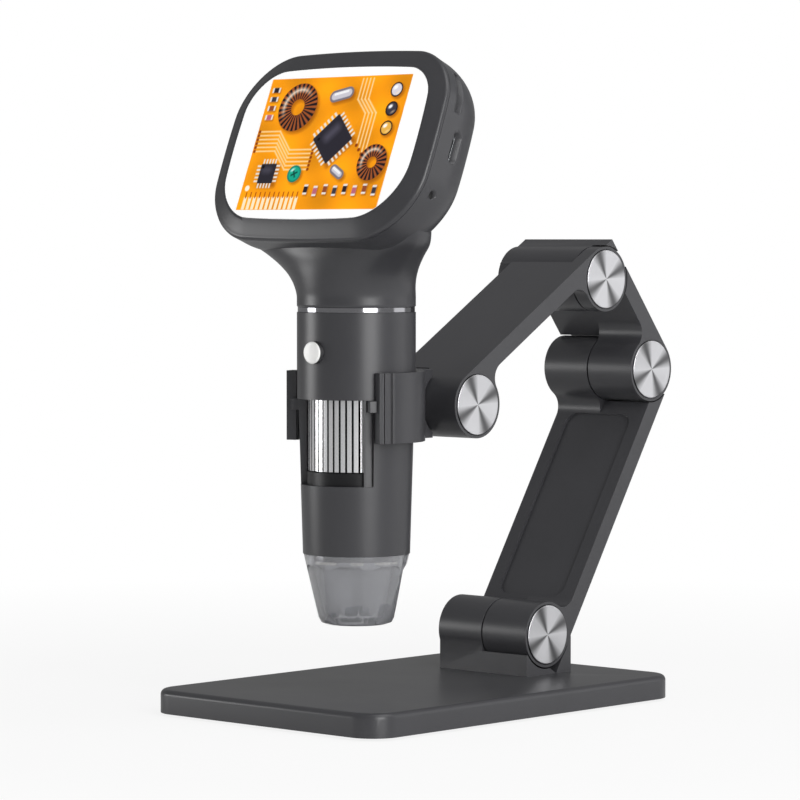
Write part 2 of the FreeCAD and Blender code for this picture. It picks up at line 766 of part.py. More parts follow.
def head_place(shape):
    """From head axes (x right, y up the screen, z out of the screen) to the object's axes."""
    shape.rotate(vec(0, 0, 0), X_AXIS, 90.0 - head_lean)
    shape.translate(vec(0, head_centre[0], head_centre[1]))
    return shape


def bulged_outline(half_width, half_height, corner, bulge, depth):
    """A rounded rectangle whose four sides bow out a little, at one depth."""
    inner_x = half_width - corner
    inner_y = half_height - corner
    side = math.sqrt(0.5)
    edges = []
    flat_x = half_width - bulge
    flat_y = half_height - bulge
    ends = []
    for sx, sy in ((1, 1), (-1, 1), (-1, -1), (1, -1)):
        on_side = vec(sx * flat_x, sy * inner_y, depth)
        on_top = vec(sx * inner_x, sy * flat_y, depth)
        middle = vec(sx * (inner_x + (flat_x - inner_x) * side), sy * (inner_y + (flat_y - inner_y) * side), depth)
        pair = (on_side, middle, on_top) if sx * sy > 0 else (on_top, middle, on_side)
        ends.append(pair)
    bows = [vec(0, half_height, depth), vec(-half_width, 0, depth), vec(0, -half_height, depth),
            vec(half_width, 0, depth)]
    for place in range(4):
        first = ends[place]
        following = ends[(place + 1) % 4]
        edges.append(Part.Arc(*first).toShape())
        edges.append(Part.Arc(first[2], bows[place], following[0]).toShape())
    return Part.Wire(edges)


def bulged_plate(half_width, half_height, corner, bulge, low, high):
    face = Part.Face(bulged_outline(half_width, half_height, corner, bulge, low))
    return face.extrude(vec(0, 0, high - low))


def loft(*wires):
    return Part.makeLoft(list(wires), True, False)


def make_head():
    w = head_half_width
    h = head_half_height
    c = head_corner_radius
    back = -head_depth
    front = loft(
        bulged_outline(w, h, c, 1.4, -bezel_slope),
        bulged_outline(glass_half_width + 0.3, glass_half_height + 0.3, glass_corner_radius, 1.4, 0.0),
    )
    rim = bulged_plate(w, h, c, 1.4, -bezel_depth, -bezel_slope)
    bezel = fuse(front, rim)
    seat = bulged_plate(glass_half_width, glass_half_height, glass_corner_radius, 1.4, -glass_thickness, 1)
    opening = rounded_plate(picture_width / 2.0 + 1.5, picture_height / 2.0 + 1.2, 2.0, -head_depth, 1)
    hollow = bulged_plate(w - head_skin, h - head_skin, c - head_skin, 1.2, -head_depth, -glass_thickness - 0.8)
    bezel = cut(bezel, seat, opening, hollow)
    save("screen_bezel", head_place(bezel))

    glass = bulged_plate(
        glass_half_width - 0.1, glass_half_height - 0.1, glass_corner_radius - 0.1, 1.4, -glass_thickness, -0.05
    )
    save("screen_glass", head_place(glass))

    panel_top = -glass_thickness
    panel_low = panel_top - display_thickness
    display = rounded_plate(picture_width / 2.0 + 1.4, picture_height / 2.0 + 1.1, 2.0, panel_low, panel_top)
    save("display_panel", head_place(display))
    board_top = panel_low - 0.4
    board = rounded_plate(34.0, 21.0, 3.0, board_top - board_thickness, board_top)
    save("main_board", head_place(board))
    cell_top = board_top - board_thickness
    cell = rounded_plate(22.0, 14.0, 2.0, cell_top - battery_thickness, cell_top)
    save("battery", head_place(cell))

    # The rear housing: a bowl behind the bezel that flows down into the round neck
    bowl = loft(
        bulged_outline(w, h, c, 1.4, -bezel_depth),
        bulged_outline(w - 0.6, h - 0.6, c, 1.4, -head_depth * 0.55),
        bulged_outline(w - 2.6, h - 2.6, c, 1.4, -head_depth * 0.85),
        bulged_outline(w - 5.6, h - 5.6, c - 3, 1.4, back),
    )
    inside = bulged_plate(w - head_skin - 2.2, h - head_skin - 2.2, c - 4, 1.2, back + 4.2, -bezel_depth + 1)
    bowl = head_place(bowl)
    inside = head_place(inside)
    y = barrel_y
    # Each outline: height over the trim ring, shift to the front, half width, front reach, rear reach
    stations = (
        (0.0, 0.0, 17.44, 17.44, 17.44), (3.0, 0.0, 17.5, 17.44, 17.44), (6.0, 0.8, 18.3, 17.0, 17.6),
        (9.0, 2.0, 20.4, 16.1, 17.8), (12.0, 3.9, 23.5, 14.4, 18.6), (15.0, 6.2, 27.6, 12.3, 19.9),
        (18.0, 8.7, 32.2, 9.7, 21.2), (21.0, 10.3, 34.6, 8.3, 21.4), (24.0, 11.1, 35.6, 7.6, 21.0),
        (28.0, 11.5, 35.6, 7.3, 19.4), (33.0, 11.3, 34.4, 7.3, 17.0), (39.0, 11.0, 31.6, 7.0, 13.2),
    )
    flare = Part.makeLoft(
        [oval(0, y - shift, trim_top + rise, half_x, front_y, rear_y)
         for rise, shift, half_x, front_y, rear_y in stations], True, False,
    )
    neck_bore = fuse(post(0, y, trim_top - 1, trim_top + 6, sleeve_radius - neck_skin),
                     post(0, y - 6, trim_top + 5, trim_top + 24, 8.0))
    screen_side = head_place(block((-80, -80, -bezel_depth), (80, 80, 80)))
    outside = cut(fuse(bowl, flare), screen_side)
    housing = cut(outside, inside, neck_bore)
    save("rear_housing", cut(housing, port_box(0.15, 12.0, -20.0), card_box(0.2, 16.0, -20.0),
                             lamp_rod(0.1, 8.0, -20.0)))

    save("charging_port", cut(port_box(0.0, 10.0, 2.6), port_box(-0.55, 8.5, 0.0)))
    save("card_socket", card_box(0.0, 15.0, 6.4))
    save("status_lamp", lamp_rod(0.0, 6.0, 1.9))

    trim = tube(0, y, sleeve_top, trim_top, trim_radius, trim_radius - 2.0)
    save("trim_ring", trim)


def oval(x, y, z, half_x, front, rear):
    """A closed outline of four quarter ellipse-like arcs as one periodic spline."""
    points = []
    for step in range(24):
        turn = 2 * math.pi * step / 24
        reach = rear if math.sin(turn) > 0 else front
        points.append(vec(x + half_x * math.cos(turn), y + reach * math.sin(turn), z))
    curve = Part.BSplineCurve()
    curve.interpolate(points, PeriodicFlag=True)
    return Part.Wire(curve.toShape())


def side_box(centre_up, centre_deep, length, thick, outer_x, inner_x):
    """A box through the head's right side, its length along the screen's height."""
    return block((inner_x, centre_up - length / 2.0, -centre_deep - thick / 2.0),
                 (outer_x, centre_up + length / 2.0, -centre_deep + thick / 2.0))


def port_box(grow, inward, start):
    """The pill-shaped charging port, from start to inward under the head's widest side."""
    thick = port_height + 2 * grow
    box = side_box(port_up, port_deep, port_width + 2 * grow, thick, head_half_width - start,
                   head_half_width - inward)
    along_x = [e for e in box.Edges if abs(e.tangentAt(e.FirstParameter).x) > 0.99]
    return head_place(box.makeFillet(thick / 2.0 - 0.02, along_x))


def card_box(grow, inward, start):
    return head_place(side_box(card_up, card_deep, card_width + 2 * grow, card_slot_height + 2 * grow,
                               head_half_width - start, head_half_width - inward))


def lamp_rod(grow, inward, start):
    inner = head_half_width - inward
    return head_place(Part.makeCylinder(lamp_radius + grow, inward - start, vec(inner, lamp_up, -lamp_deep), X_AXIS))


make_base()
make_lower_arm()
make_link()
make_upper_arm()
hinge_hardware("base", base_axis, 0.0)
hinge_hardware("elbow", elbow_axis, 0.0)
hinge_hardware("top", top_axis, ear_split)
hinge_hardware("clip", clip_axis, 0.0)
make_clip()
make_barrel()
make_nose()
make_button()
make_head()
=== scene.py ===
import json
import math
import bmesh
import bpy
import numpy as np
from bpy.props import FloatProperty, FloatVectorProperty, PointerProperty
from mathutils import Matrix, Vector


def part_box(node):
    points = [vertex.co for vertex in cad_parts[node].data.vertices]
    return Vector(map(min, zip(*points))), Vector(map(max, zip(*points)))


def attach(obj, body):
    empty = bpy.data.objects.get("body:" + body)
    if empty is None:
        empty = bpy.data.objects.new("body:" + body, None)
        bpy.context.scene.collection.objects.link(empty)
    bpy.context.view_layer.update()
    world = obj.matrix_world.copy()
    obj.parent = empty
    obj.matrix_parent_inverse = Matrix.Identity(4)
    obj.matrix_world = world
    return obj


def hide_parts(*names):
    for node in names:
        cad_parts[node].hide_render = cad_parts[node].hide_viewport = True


bl_info = {
    "name": "Screen microscope on a folding stand",
    "version": (1, 0, 0),
    "blender": (4, 2, 0),
    "location": "3D View > Sidebar > Microscope",
    "description": "Dresses the microscope, its clip and its stand, and lights them on a pale stage",
    "category": "Object",
}

MM = 0.001
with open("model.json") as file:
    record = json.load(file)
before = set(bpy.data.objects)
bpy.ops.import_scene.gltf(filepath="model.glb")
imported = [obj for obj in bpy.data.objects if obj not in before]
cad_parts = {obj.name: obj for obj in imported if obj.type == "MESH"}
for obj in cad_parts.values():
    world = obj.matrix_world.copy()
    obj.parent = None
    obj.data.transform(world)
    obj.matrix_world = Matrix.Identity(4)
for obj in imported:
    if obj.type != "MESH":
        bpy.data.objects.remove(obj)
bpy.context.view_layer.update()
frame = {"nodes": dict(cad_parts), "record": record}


def srgb(hex_colour):
    """The red, green and blue of an sRGB hex colour, from 0 to 1."""
    return np.array([int(hex_colour[i:i + 2], 16) for i in (1, 3, 5)]) / 255.0


def in_linear_light(value):
    return np.where(value <= 0.04045, value / 12.92, ((value + 0.055) / 1.055) ** 2.4)


def in_srgb(value):
    return np.where(value <= 0.0031308, value * 12.92, 1.055 * value ** (1 / 2.4) - 0.055)


def linear(hex_colour):
    """The linear red, green and blue of an sRGB hex colour."""
    return tuple(in_linear_light(srgb(hex_colour)).tolist())


def millimetres(node):
    """The low and high corner of a CAD node, in millimetres."""
    low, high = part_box(node)
    return np.array(low) / MM, np.array(high) / MM


def colour_property(name, description, hex_colour):
    return FloatVectorProperty(
        name=name, description=description, subtype="COLOR", size=3, min=0.0, max=1.0,
        default=linear(hex_colour),
    )


def length_property(name, description, millimetre):
    return FloatProperty(
        name=name, description=description, unit="LENGTH", precision=4, min=0.0, default=millimetre * MM
    )


def power_property(name, description, watts):
    return FloatProperty(name=name, description=description + ", in watts", min=0, default=watts)


class FinishSettings(bpy.types.PropertyGroup):
    """Colours and gloss of what the microscope and its stand are made of."""
    plastic: colour_property("Plastic", "Moulded grey of the housing, the clip and the stand", "#3B3B3E")
    plastic_roughness: FloatProperty(
        name="Plastic roughness", description="Satin of the moulded grey", subtype="FACTOR", min=0, max=1,
        default=0.32,
    )
    aluminium: colour_property("Aluminium", "Spun hinge caps", "#D9D9DC")
    smoke: colour_property("Smoky clear", "Clear nose round the lamps", "#C6C7CB")
    button: colour_property("Button", "White shutter button", "#F4F4F2")
    board: colour_property("Board in the picture", "Ground colour of the picture on the screen", "#F79A0E")


class ShapeSettings(bpy.types.PropertyGroup):
    """Edges and small reliefs that are too fine for the solids."""
    arm_edge: length_property("Arm edge", "Radius along the edges of the arms and the base", 0.45)
    fine_edge: length_property("Fine edge", "Radius along the edges of the small pieces", 0.2)
    bezel_edge: length_property("Bezel edge", "Radius round the front of the screen's frame", 0.9)
    head_round: length_property("Head rounding", "How far the back of the head rounds in", 8.0)


class StageSettings(bpy.types.PropertyGroup):
    """Lamps and backdrop."""
    key_power: power_property("Key lamp", "Wide lamp on the right", 12.0)
    side_power: power_property("Side lamp", "Low narrow lamp on the left", 3.2)
    top_power: power_property("Top lamp", "Lamp overhead", 4.0)
    cap_power: power_property("Cap lamp", "Lamp that the hinge caps reflect", 1.8)
    ambient: FloatProperty(
        name="Ambient", description="Even light from all round", min=0, max=2, default=0.28
    )


def add(tree, kind, links=None, **settings):
    """A node with its settings; links maps an input's name or number to a socket or a plain value."""
    node = tree.nodes.new(kind)
    for name, value in settings.items():
        setattr(node, name, value)
    for key, value in (links or {}).items():
        socket = node.inputs[key]
        if isinstance(value, bpy.types.NodeSocket):
            tree.links.new(value, socket)
        else:
            socket.default_value = value
    return node


def empty_material(name):
    """A new material with an empty node tree, and the tree."""
    material = bpy.data.materials.new(name)
    material.use_nodes = True
    material.node_tree.nodes.clear()
    return material, material.node_tree


def shown(tree, shader):
    """Joins a shader to the material's output."""
    add(tree, "ShaderNodeOutputMaterial", {"Surface": shader})


def object_place(tree):
    """Places on the object, in metres from the row's origin."""
    return add(tree, "ShaderNodeTexCoord").outputs["Object"]


def ramp(tree, factor, stops):
    """A colour ramp over (position, linear colour) stops."""
    node = add(tree, "ShaderNodeValToRGB", {"Fac": factor})
    elements = node.color_ramp.elements
    while len(elements) < len(stops):
        elements.new(0.5)
    for element, (place, colour) in zip(elements, stops):
        element.position = place
        element.color = (*colour, 1.0)
    return node.outputs["Color"]


def scaled(colour, factor):
    """A colour made lighter or darker, up to full white."""
    return tuple(min(1.0, c * factor) for c in colour)


def grained(name, colour, roughness, grain_mm, depth_mm, spread=0.06, specular=0.5, metallic=0.0):
    """A solid finish with a fine grain: noise of one grain's size for the bump, and a slow noise for
    the slight unevenness of colour and gloss."""
    material, tree = empty_material(name)
    place = object_place(tree)
    grain = add(tree, "ShaderNodeTexNoise", {"Vector": place, "Scale": 1.0 / (grain_mm * MM), "Detail": 2.0})
    cloud_mm = 22.0
    cloud = add(tree, "ShaderNodeTexNoise", {"Vector": place, "Scale": 1.0 / (cloud_mm * MM), "Detail": 3.0})
    tint = ramp(tree, cloud.outputs["Fac"],
                ((0.3, scaled(colour, 1.0 - spread)), (0.7, scaled(colour, 1.0 + spread))))
    gloss = add(tree, "ShaderNodeMapRange", {"Value": cloud.outputs["Fac"], "To Min": roughness - 0.03,
                                             "To Max": roughness + 0.04})
    bump = add(tree, "ShaderNodeBump", {
        "Height": grain.outputs["Fac"], "Distance": depth_mm * MM, "Strength": 0.5,
    })
    shader = add(tree, "ShaderNodeBsdfPrincipled", {
        "Base Color": tint, "Roughness": gloss.outputs["Result"], "Normal": bump.outputs["Normal"],
        "Metallic": metallic, "Specular IOR Level": specular,
    })
    shown(tree, shader.outputs["BSDF"])
    return material


materials = {}


def finish(name):
    """The named material, made once."""
    if name not in materials:
        materials[name] = makers[name]()
    return materials[name]


def moulded_abs():
    # ABS moulded in a spark-eroded tool: dark grey, satin, with soft wide highlights
    look = bpy.context.scene.microscope_finish
    return grained("moulded_abs", tuple(look.plastic), look.plastic_roughness, 0.35, 0.012, 0.05)


def blackened_abs():
    # ABS in the shade of slots and gaps, near black
    return grained("blackened_abs", linear("#161617"), 0.5, 0.35, 0.01)


def spun_aluminium():
    """Aluminium faced on a lathe: rings of tool marks stretch every highlight into wedges from the centre.
    The tangent runs round the cap, and a painted reflection of these wedges makes the grey lighter and darker
    with the angle."""
    material, tree = empty_material("spun_aluminium")
    look = bpy.context.scene.microscope_finish
    uv = add(tree, "ShaderNodeUVMap", uv_map="spin")
    parts = add(tree, "ShaderNodeSeparateXYZ", {"Vector": uv.outputs["UV"]})
    # Painted reflection: four light and dark wedges round the cap, set in the base colour by the angle
    wedges, wedge_phase = 4, 2.967
    turn = add(tree, "ShaderNodeMath", {0: parts.outputs["X"], 1: 2 * math.pi * wedges}, operation="MULTIPLY")
    painted_lobe_angle = add(tree, "ShaderNodeMath", {0: turn.outputs[0], 1: wedge_phase}, operation="ADD")
    wave = add(tree, "ShaderNodeMath", {0: painted_lobe_angle.outputs[0]}, operation="SINE")
    painted_wedge_shine = add(tree, "ShaderNodeMapRange", {"Value": wave.outputs[0], "From Min": -1.0})
    base = tuple(look.aluminium)
    painted_wedge_greys = ((0.0, scaled(base, 0.2)), (0.22, scaled(base, 0.62)), (0.55, base))
    tint = ramp(tree, painted_wedge_shine.outputs["Result"], painted_wedge_greys)
    cap_radius, mark_pitch = 9.0, 0.22
    marks_turn = 2 * math.pi * cap_radius / mark_pitch
    rings = add(tree, "ShaderNodeMath", {0: parts.outputs["Y"], 1: marks_turn}, operation="MULTIPLY")
    marks = add(tree, "ShaderNodeMath", {0: rings.outputs[0]}, operation="SINE")
    bump = add(tree, "ShaderNodeBump", {"Height": marks.outputs[0], "Distance": 0.004 * MM, "Strength": 0.35})
    tangent = add(tree, "ShaderNodeTangent", direction_type="UV_MAP", uv_map="spin")
    shader = add(tree, "ShaderNodeBsdfPrincipled", {
        "Base Color": tint, "Metallic": 1.0, "Roughness": 0.3, "Anisotropic": 0.8,
        "Tangent": tangent.outputs["Tangent"], "Normal": bump.outputs["Normal"],
    })
    shown(tree, shader.outputs["BSDF"])
    return material


def chromed_ribs():
    """Chrome over a moulded ring, with painted shade in its grooves: the depth under the rib tops sets the
    mix from near black to bright chrome.
    """
    material, tree = empty_material("chromed_ribs")
    low, high = millimetres("focus_ring")
    centre = Vector(((low + high) / 2.0) * MM)
    place = object_place(tree)
    flat = add(tree, "ShaderNodeVectorMath", {0: place, 1: centre}, operation="SUBTRACT")
    level = add(tree, "ShaderNodeVectorMath", {0: flat.outputs[0], 1: (1, 1, 0)}, operation="MULTIPLY")
    reach = add(tree, "ShaderNodeVectorMath", {0: level.outputs[0]}, operation="LENGTH")
    top = (high[0] - low[0]) / 2.0 * MM
    # Painted shade: near black deep in the grooves, bright chrome on the rib tops
    shine = ramp(tree, add(tree, "ShaderNodeMapRange", {
        "Value": reach.outputs["Value"], "From Min": top - 0.6 * MM, "From Max": top,
    }).outputs["Result"], ((0.45, linear("#0B0B0C")), (0.72, linear("#F1F1F3"))))
    shader = add(tree, "ShaderNodeBsdfPrincipled", {"Base Color": shine, "Metallic": 0.8, "Roughness": 0.2})
    shown(tree, shader.outputs["BSDF"])
    return material


def polished_chrome():
    # Chrome plate on a turned ring: mirror bright with a very faint grain
    return grained("polished_chrome", linear("#AAAAAE"), 0.1, 0.5, 0.002, 0.03, metallic=1.0)


def plated_steel():
    # Zinc-plated steel screws and nuts: grey with a soft sheen
    return grained("plated_steel", linear("#A9ABAE"), 0.32, 0.4, 0.006, 0.08, metallic=1.0)


def anodised_black():
    # Black anodised aluminium tube: dark, slightly metallic
    return grained("anodised_black", linear("#1B1B1D"), 0.36, 0.4, 0.004, 0.05, metallic=0.4)


def smoky_polycarbonate():
    """Injection-moulded smoke-grey polycarbonate: partly clear, with a slow cloud in its tint."""
    material, tree = empty_material("smoky_polycarbonate")
    look = bpy.context.scene.microscope_finish
    place = object_place(tree)
    flow = add(tree, "ShaderNodeTexNoise", {"Vector": place, "Scale": 1.0 / (6.0 * MM), "Detail": 2.0})
    tint = ramp(tree, flow.outputs["Fac"],
                ((0.3, scaled(tuple(look.smoke), 0.95)), (0.7, scaled(tuple(look.smoke), 1.04))))
    shader = add(tree, "ShaderNodeBsdfPrincipled", {
        "Base Color": tint, "Roughness": 0.07, "IOR": 1.58, "Transmission Weight": 0.72,
        "Coat Weight": 0.4, "Coat Roughness": 0.05,
    })
    shown(tree, shader.outputs["BSDF"])
    return material


def white_plastic():
    """Two-shot moulded button: a glossy white face on a dark body, parted by depth behind the face."""
    material, tree = empty_material("white_plastic")
    look = bpy.context.scene.microscope_finish
    face = millimetres("shutter_button")[0][1]
    place = object_place(tree)
    parts = add(tree, "ShaderNodeSeparateXYZ", {"Vector": place})
    behind = add(tree, "ShaderNodeMapRange", {
        "Value": parts.outputs["Y"], "From Min": (face + 0.45) * MM, "From Max": (face + 0.65) * MM,
    })
    tint = ramp(tree, behind.outputs["Result"], ((0.2, tuple(look.button)), (0.8, linear("#3A3A3C"))))
    shader = add(tree, "ShaderNodeBsdfPrincipled", {
        "Base Color": tint, "Roughness": 0.22, "Coat Weight": 0.3,
    })
    shown(tree, shader.outputs["BSDF"])
    return material


def pad_rubber():
    # Moulded rubber pad: matt black
    return grained("pad_rubber", linear("#151515"), 0.75, 0.5, 0.03, 0.08, specular=0.3)


def solder_mask():
    # Green lacquer over a printed board
    return grained("solder_mask", linear("#0E4A2A"), 0.35, 0.8, 0.01, 0.15)


def cell_foil():
    # Aluminium laminate round the flat cell
    return grained("cell_foil", linear("#8B8D92"), 0.3, 0.7, 0.02, metallic=0.8)


def lamp_resin():
    """Clear yellow-white resin over the lamps, faintly lit."""
    material, tree = empty_material("lamp_resin")
    place = object_place(tree)
    cloud = add(tree, "ShaderNodeTexNoise", {"Vector": place, "Scale": 1.0 / (1.2 * MM)})
    tint = ramp(tree, cloud.outputs["Fac"], ((0.3, linear("#E8E3C8")), (0.7, linear("#FBF8EC"))))
    shader = add(tree, "ShaderNodeBsdfPrincipled", {
        "Base Color": tint, "Roughness": 0.25,
        "Emission Color": (1.0, 0.97, 0.88, 1.0), "Emission Strength": 0.35,
    })
    shown(tree, shader.outputs["BSDF"])
    return material


def optical_glass():
    """Polished coated glass: clear, with a painted green-violet sheen in its colour that shifts with the
    facing angle.
    """
    material, tree = empty_material("optical_glass")
    # Painted sheen: the tint moves from pale green to violet as the surface turns away
    facing = add(tree, "ShaderNodeLayerWeight", {"Blend": 0.4}).outputs["Facing"]
    tint = ramp(tree, facing, ((0.1, linear("#E6F2EE")), (0.9, linear("#C9C4E6"))))
    shader = add(tree, "ShaderNodeBsdfPrincipled", {
        "Base Color": tint, "Roughness": 0.02, "IOR": 1.52, "Transmission Weight": 1.0,
    })
    shown(tree, shader.outputs["BSDF"])
    return material


def lit_screen():
    """Cover glass printed white round its edge over a lit panel: the picture glows through a glossy face, and
    the white print is given a painted glow of its own.
    """
    material, tree = empty_material("lit_screen")
    picture = add(tree, "ShaderNodeAttribute", attribute_name="picture").outputs["Color"]
    shader = add(tree, "ShaderNodeBsdfPrincipled", {
        "Base Color": picture, "Roughness": 0.05, "Emission Color": picture, "Emission Strength": 0.92,
        "Specular IOR Level": 0.15,
    })
    shown(tree, shader.outputs["BSDF"])
    return material


makers = {maker.__name__: maker for maker in (
    moulded_abs, blackened_abs, spun_aluminium, chromed_ribs, polished_chrome, plated_steel,
    anodised_black, smoky_polycarbonate, white_plastic, pad_rubber, solder_mask, cell_foil, lamp_resin,
    optical_glass, lit_screen,
)}


def body_holding(node):
    """The name of the moving body that a CAD node belongs to."""
    for body, members in frame["record"]["behaviour"]["bodies"].items():
        if node in members:
            return body


def placed(mesh, name, body, material):
    """An object of that mesh, riding on a body, with its material."""
    piece = bpy.data.objects.new(name, mesh)
    bpy.context.scene.collection.objects.link(piece)
    mesh.materials.clear()
    mesh.materials.append(finish(material))
    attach(piece, body)
    return piece


def dressed(node, material, edge=0.0, angle=35.0):
    """A merged copy of a CAD node with rounded edges and smooth curves, shown in its place."""
    source = frame["nodes"][node]
    mesh = source.data.copy()
    mesh.name = node + "_shown"
    work = bmesh.new()
    work.from_mesh(mesh)
    bmesh.ops.remove_doubles(work, verts=work.verts, dist=0.002 * MM)
    bmesh.ops.dissolve_limit(
        work, angle_limit=math.radians(0.6), use_dissolve_boundaries=False, verts=work.verts,
        edges=work.edges, delimit=set(),
    )
    work.to_mesh(mesh)
    work.free()
    for layer in list(mesh.color_attributes):
        mesh.color_attributes.remove(layer)
    if "custom_normal" in mesh.attributes:
        mesh.attributes.remove(mesh.attributes["custom_normal"])
    mesh.shade_smooth()
    mesh.set_sharp_from_angle(angle=math.radians(angle))
    piece = placed(mesh, node + "_shown", body_holding(node), material)
    if edge > 0:
        bevel = piece.modifiers.new("edges", "BEVEL")
        bevel.width = edge
        bevel.segments = 3
        bevel.limit_method = "ANGLE"
        bevel.angle_limit = math.radians(angle)
        bevel.harden_normals = True
        bevel.use_clamp_overlap = True
    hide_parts(node)


def grid_mesh(name, rings, smooth_angle=35.0):
    """A closed skin over rings of points (rings, points round, 3) in millimetres, with a fan at each end."""
    count, around = rings.shape[:2]
    points = np.concatenate([rings.reshape(-1, 3), rings[:1].mean(axis=1), rings[-1:].mean(axis=1)]) * MM
    row = np.arange(count - 1)[:, None] * around
    col = np.arange(around)[None, :]
    after = (col + 1) % around
    quads = np.stack([row + col, row + after, row + around + after, row + around + col], axis=-1)
    quads = quads.reshape(-1, 4)
    start, end = count * around, count * around + 1
    last = (count - 1) * around
    first_fan = np.stack([after[0], col[0], np.full(around, start)], axis=-1)
    last_fan = np.stack([last + col[0], last + after[0], np.full(around, end)], axis=-1)
    mesh = bpy.data.meshes.new(name)
    mesh.from_pydata(points.tolist(), [], quads.tolist() + first_fan.tolist() + last_fan.tolist())
    work = bmesh.new()
    work.from_mesh(mesh)
    bmesh.ops.recalc_face_normals(work, faces=work.faces)
    work.to_mesh(mesh)
    work.free()
    mesh.shade_smooth()
    mesh.set_sharp_from_angle(angle=math.radians(smooth_angle))
    return mesh


def turned(name, profile, centre, sides):
    """A profile of (radius, place along X) carried once round an axis along X through a centre (Y, Z)."""
    profile = np.array(profile, float)
    turn = np.linspace(0.0, 2.0 * math.pi, sides, endpoint=False)
    radius, place = profile[:, :1], profile[:, 1:] + np.zeros(sides)
    rings = np.stack([place, centre[0] + radius * np.cos(turn), centre[1] + radius * np.sin(turn)], axis=-1)
    return grid_mesh(name, rings)


def arc(centre, radius, start, end, steps=6):
    """Points of a quarter or other arc, from start to end in degrees."""
    turn = np.radians(np.linspace(start, end, steps))
    return np.stack([centre[0] + radius * np.cos(turn), centre[1] + radius * np.sin(turn)], axis=-1).tolist()


def outline(half_width, half_height, corners, bulge, per_side=18, per_corner=20):
    """A rounded rectangle, counter-clockwise from the lower right corner's start, whose sides bow out by
    bulge: each side's points move out by bulge times one minus the square of their place along it.
    corners are the radii at lower right, upper right, upper left and lower left."""
    w, h = half_width - bulge, half_height - bulge
    signs = ((1, -1), (1, 1), (-1, 1), (-1, -1))
    runs = []
    for number, ((sx, sy), radius) in enumerate(zip(signs, corners)):
        turn = np.radians(np.linspace(-90 + 90 * number, 90 * number, per_corner))
        run_x = sx * (w - radius) + radius * np.cos(turn)
        run_y = sy * (h - radius) + radius * np.sin(turn)
        runs.append(np.stack([run_x, run_y], axis=-1))
    points = []
    for number, run in enumerate(runs):
        following = runs[(number + 1) % 4]
        share = np.linspace(0, 1, per_side + 2)[1:-1, None]
        points += [run, run[-1] * (1 - share) + following[0] * share]
    points = np.concatenate(points)
    x, y = points[:, 0].copy(), points[:, 1].copy()
    points[:, 0] = x + bulge * (x / w) * np.clip(1 - (y / h) ** 2, 0, 1)
    points[:, 1] = y + bulge * (y / h) * np.clip(1 - (x / w) ** 2, 0, 1)
    return points


# The head's own axes: across the screen, up the screen, and out of its face
head_lean = math.radians(22.15)
sleeve_low, sleeve_high = millimetres("grip_sleeve")
trim_low, trim_high = millimetres("trim_ring")
barrel_centre = ((sleeve_low + sleeve_high) / 2.0)[:2]
head_centre = np.array([0.0, barrel_centre[1] - 13.9, trim_high[2] + 47.65])
head_across = np.array([1.0, 0.0, 0.0])
head_up = np.array([0.0, math.sin(head_lean), math.cos(head_lean)])
head_out = np.array([0.0, -math.cos(head_lean), math.sin(head_lean)])


def on_head(points, out):
    """Places (across, up) at a height out of the screen's plane, in the row frame."""
    points = np.asarray(points, float)
    out = np.asarray(out, float)
    across, up = points[..., :1], points[..., 1:2]
    return head_centre + across * head_across + up * head_up + out[..., None] * head_out


# Corner radii run lower right, upper right, upper left and lower left; a bulge is how far the sides bow out
glass_half = (36.35, 23.85)
glass_corners = (16.0, 8.5, 12.5, 12.0)
glass_bulge = 1.4
glass_gap = 0.05
glass_sunk = 0.06
glass_back = 1.5
head_half = (42.0, 29.9)
head_corners = (19.5, 14.5, 19.0, 16.5)
head_bulge = 1.6
picture_half = (28.2, 20.85)
# Share of the picture's colours that the panel gives back, so that glow and room light add up to them
panel_share = 0.62


def soft(distance, width):
    """How much a shape covers, from its signed distance in millimetres."""
    return np.clip(0.5 - distance / width, 0.0, 1.0)[..., None]


def rod_distance(x, y, start, end, radius):
    """Distance to a round-ended rod between two points."""
    px, py = x - start[0], y - start[1]
    dx, dy = end[0] - start[0], end[1] - start[1]
    share = np.clip((px * dx + py * dy) / (dx * dx + dy * dy), 0, 1)
    return np.hypot(px - share * dx, py - share * dy) - radius


def local(x, y, centre, turn=0.0):
    """Coordinates about a centre, turned by an angle in degrees."""
    c, s = math.cos(math.radians(turn)), math.sin(math.radians(turn))
    px, py = x - centre[0], y - centre[1]
    return px * c + py * s, -px * s + py * c


def box_distance(x, y, centre, half, radius=0.0, turn=0.0):
    """Distance to a rounded box turned by an angle in degrees."""
    px, py = local(x, y, centre, turn)
    qx, qy = np.abs(px) - half[0] + radius, np.abs(py) - half[1] + radius
    return np.hypot(np.maximum(qx, 0), np.maximum(qy, 0)) + np.minimum(np.maximum(qx, qy), 0) - radius


def oval_distance(x, y, centre, half, turn):
    """About the distance to an oval turned by an angle in degrees."""
    px, py = local(x, y, centre, turn)
    return (np.hypot(px / half[0], py / half[1]) - 1.0) * min(half)


def disc_distance(x, y, centre, radius):
    """Distance to a round disc."""
    return np.hypot(x - centre[0], y - centre[1]) - radius


def over(canvas, cover, colour):
    """Lays a colour over the canvas where the cover says."""
    return canvas * (1 - cover) + colour * cover


def paint(canvas, distance, hex_colour, width=0.16, share=1.0):
    """Paints a shape by its distance: width is how soft its edge is, and share how much it covers."""
    return over(canvas, share * soft(distance, width), srgb(hex_colour))


def shaded(canvas, distance, width):
    """A soft brown shadow on the board under a part."""
    return paint(canvas, distance, "#7A3A06", width, 0.5)


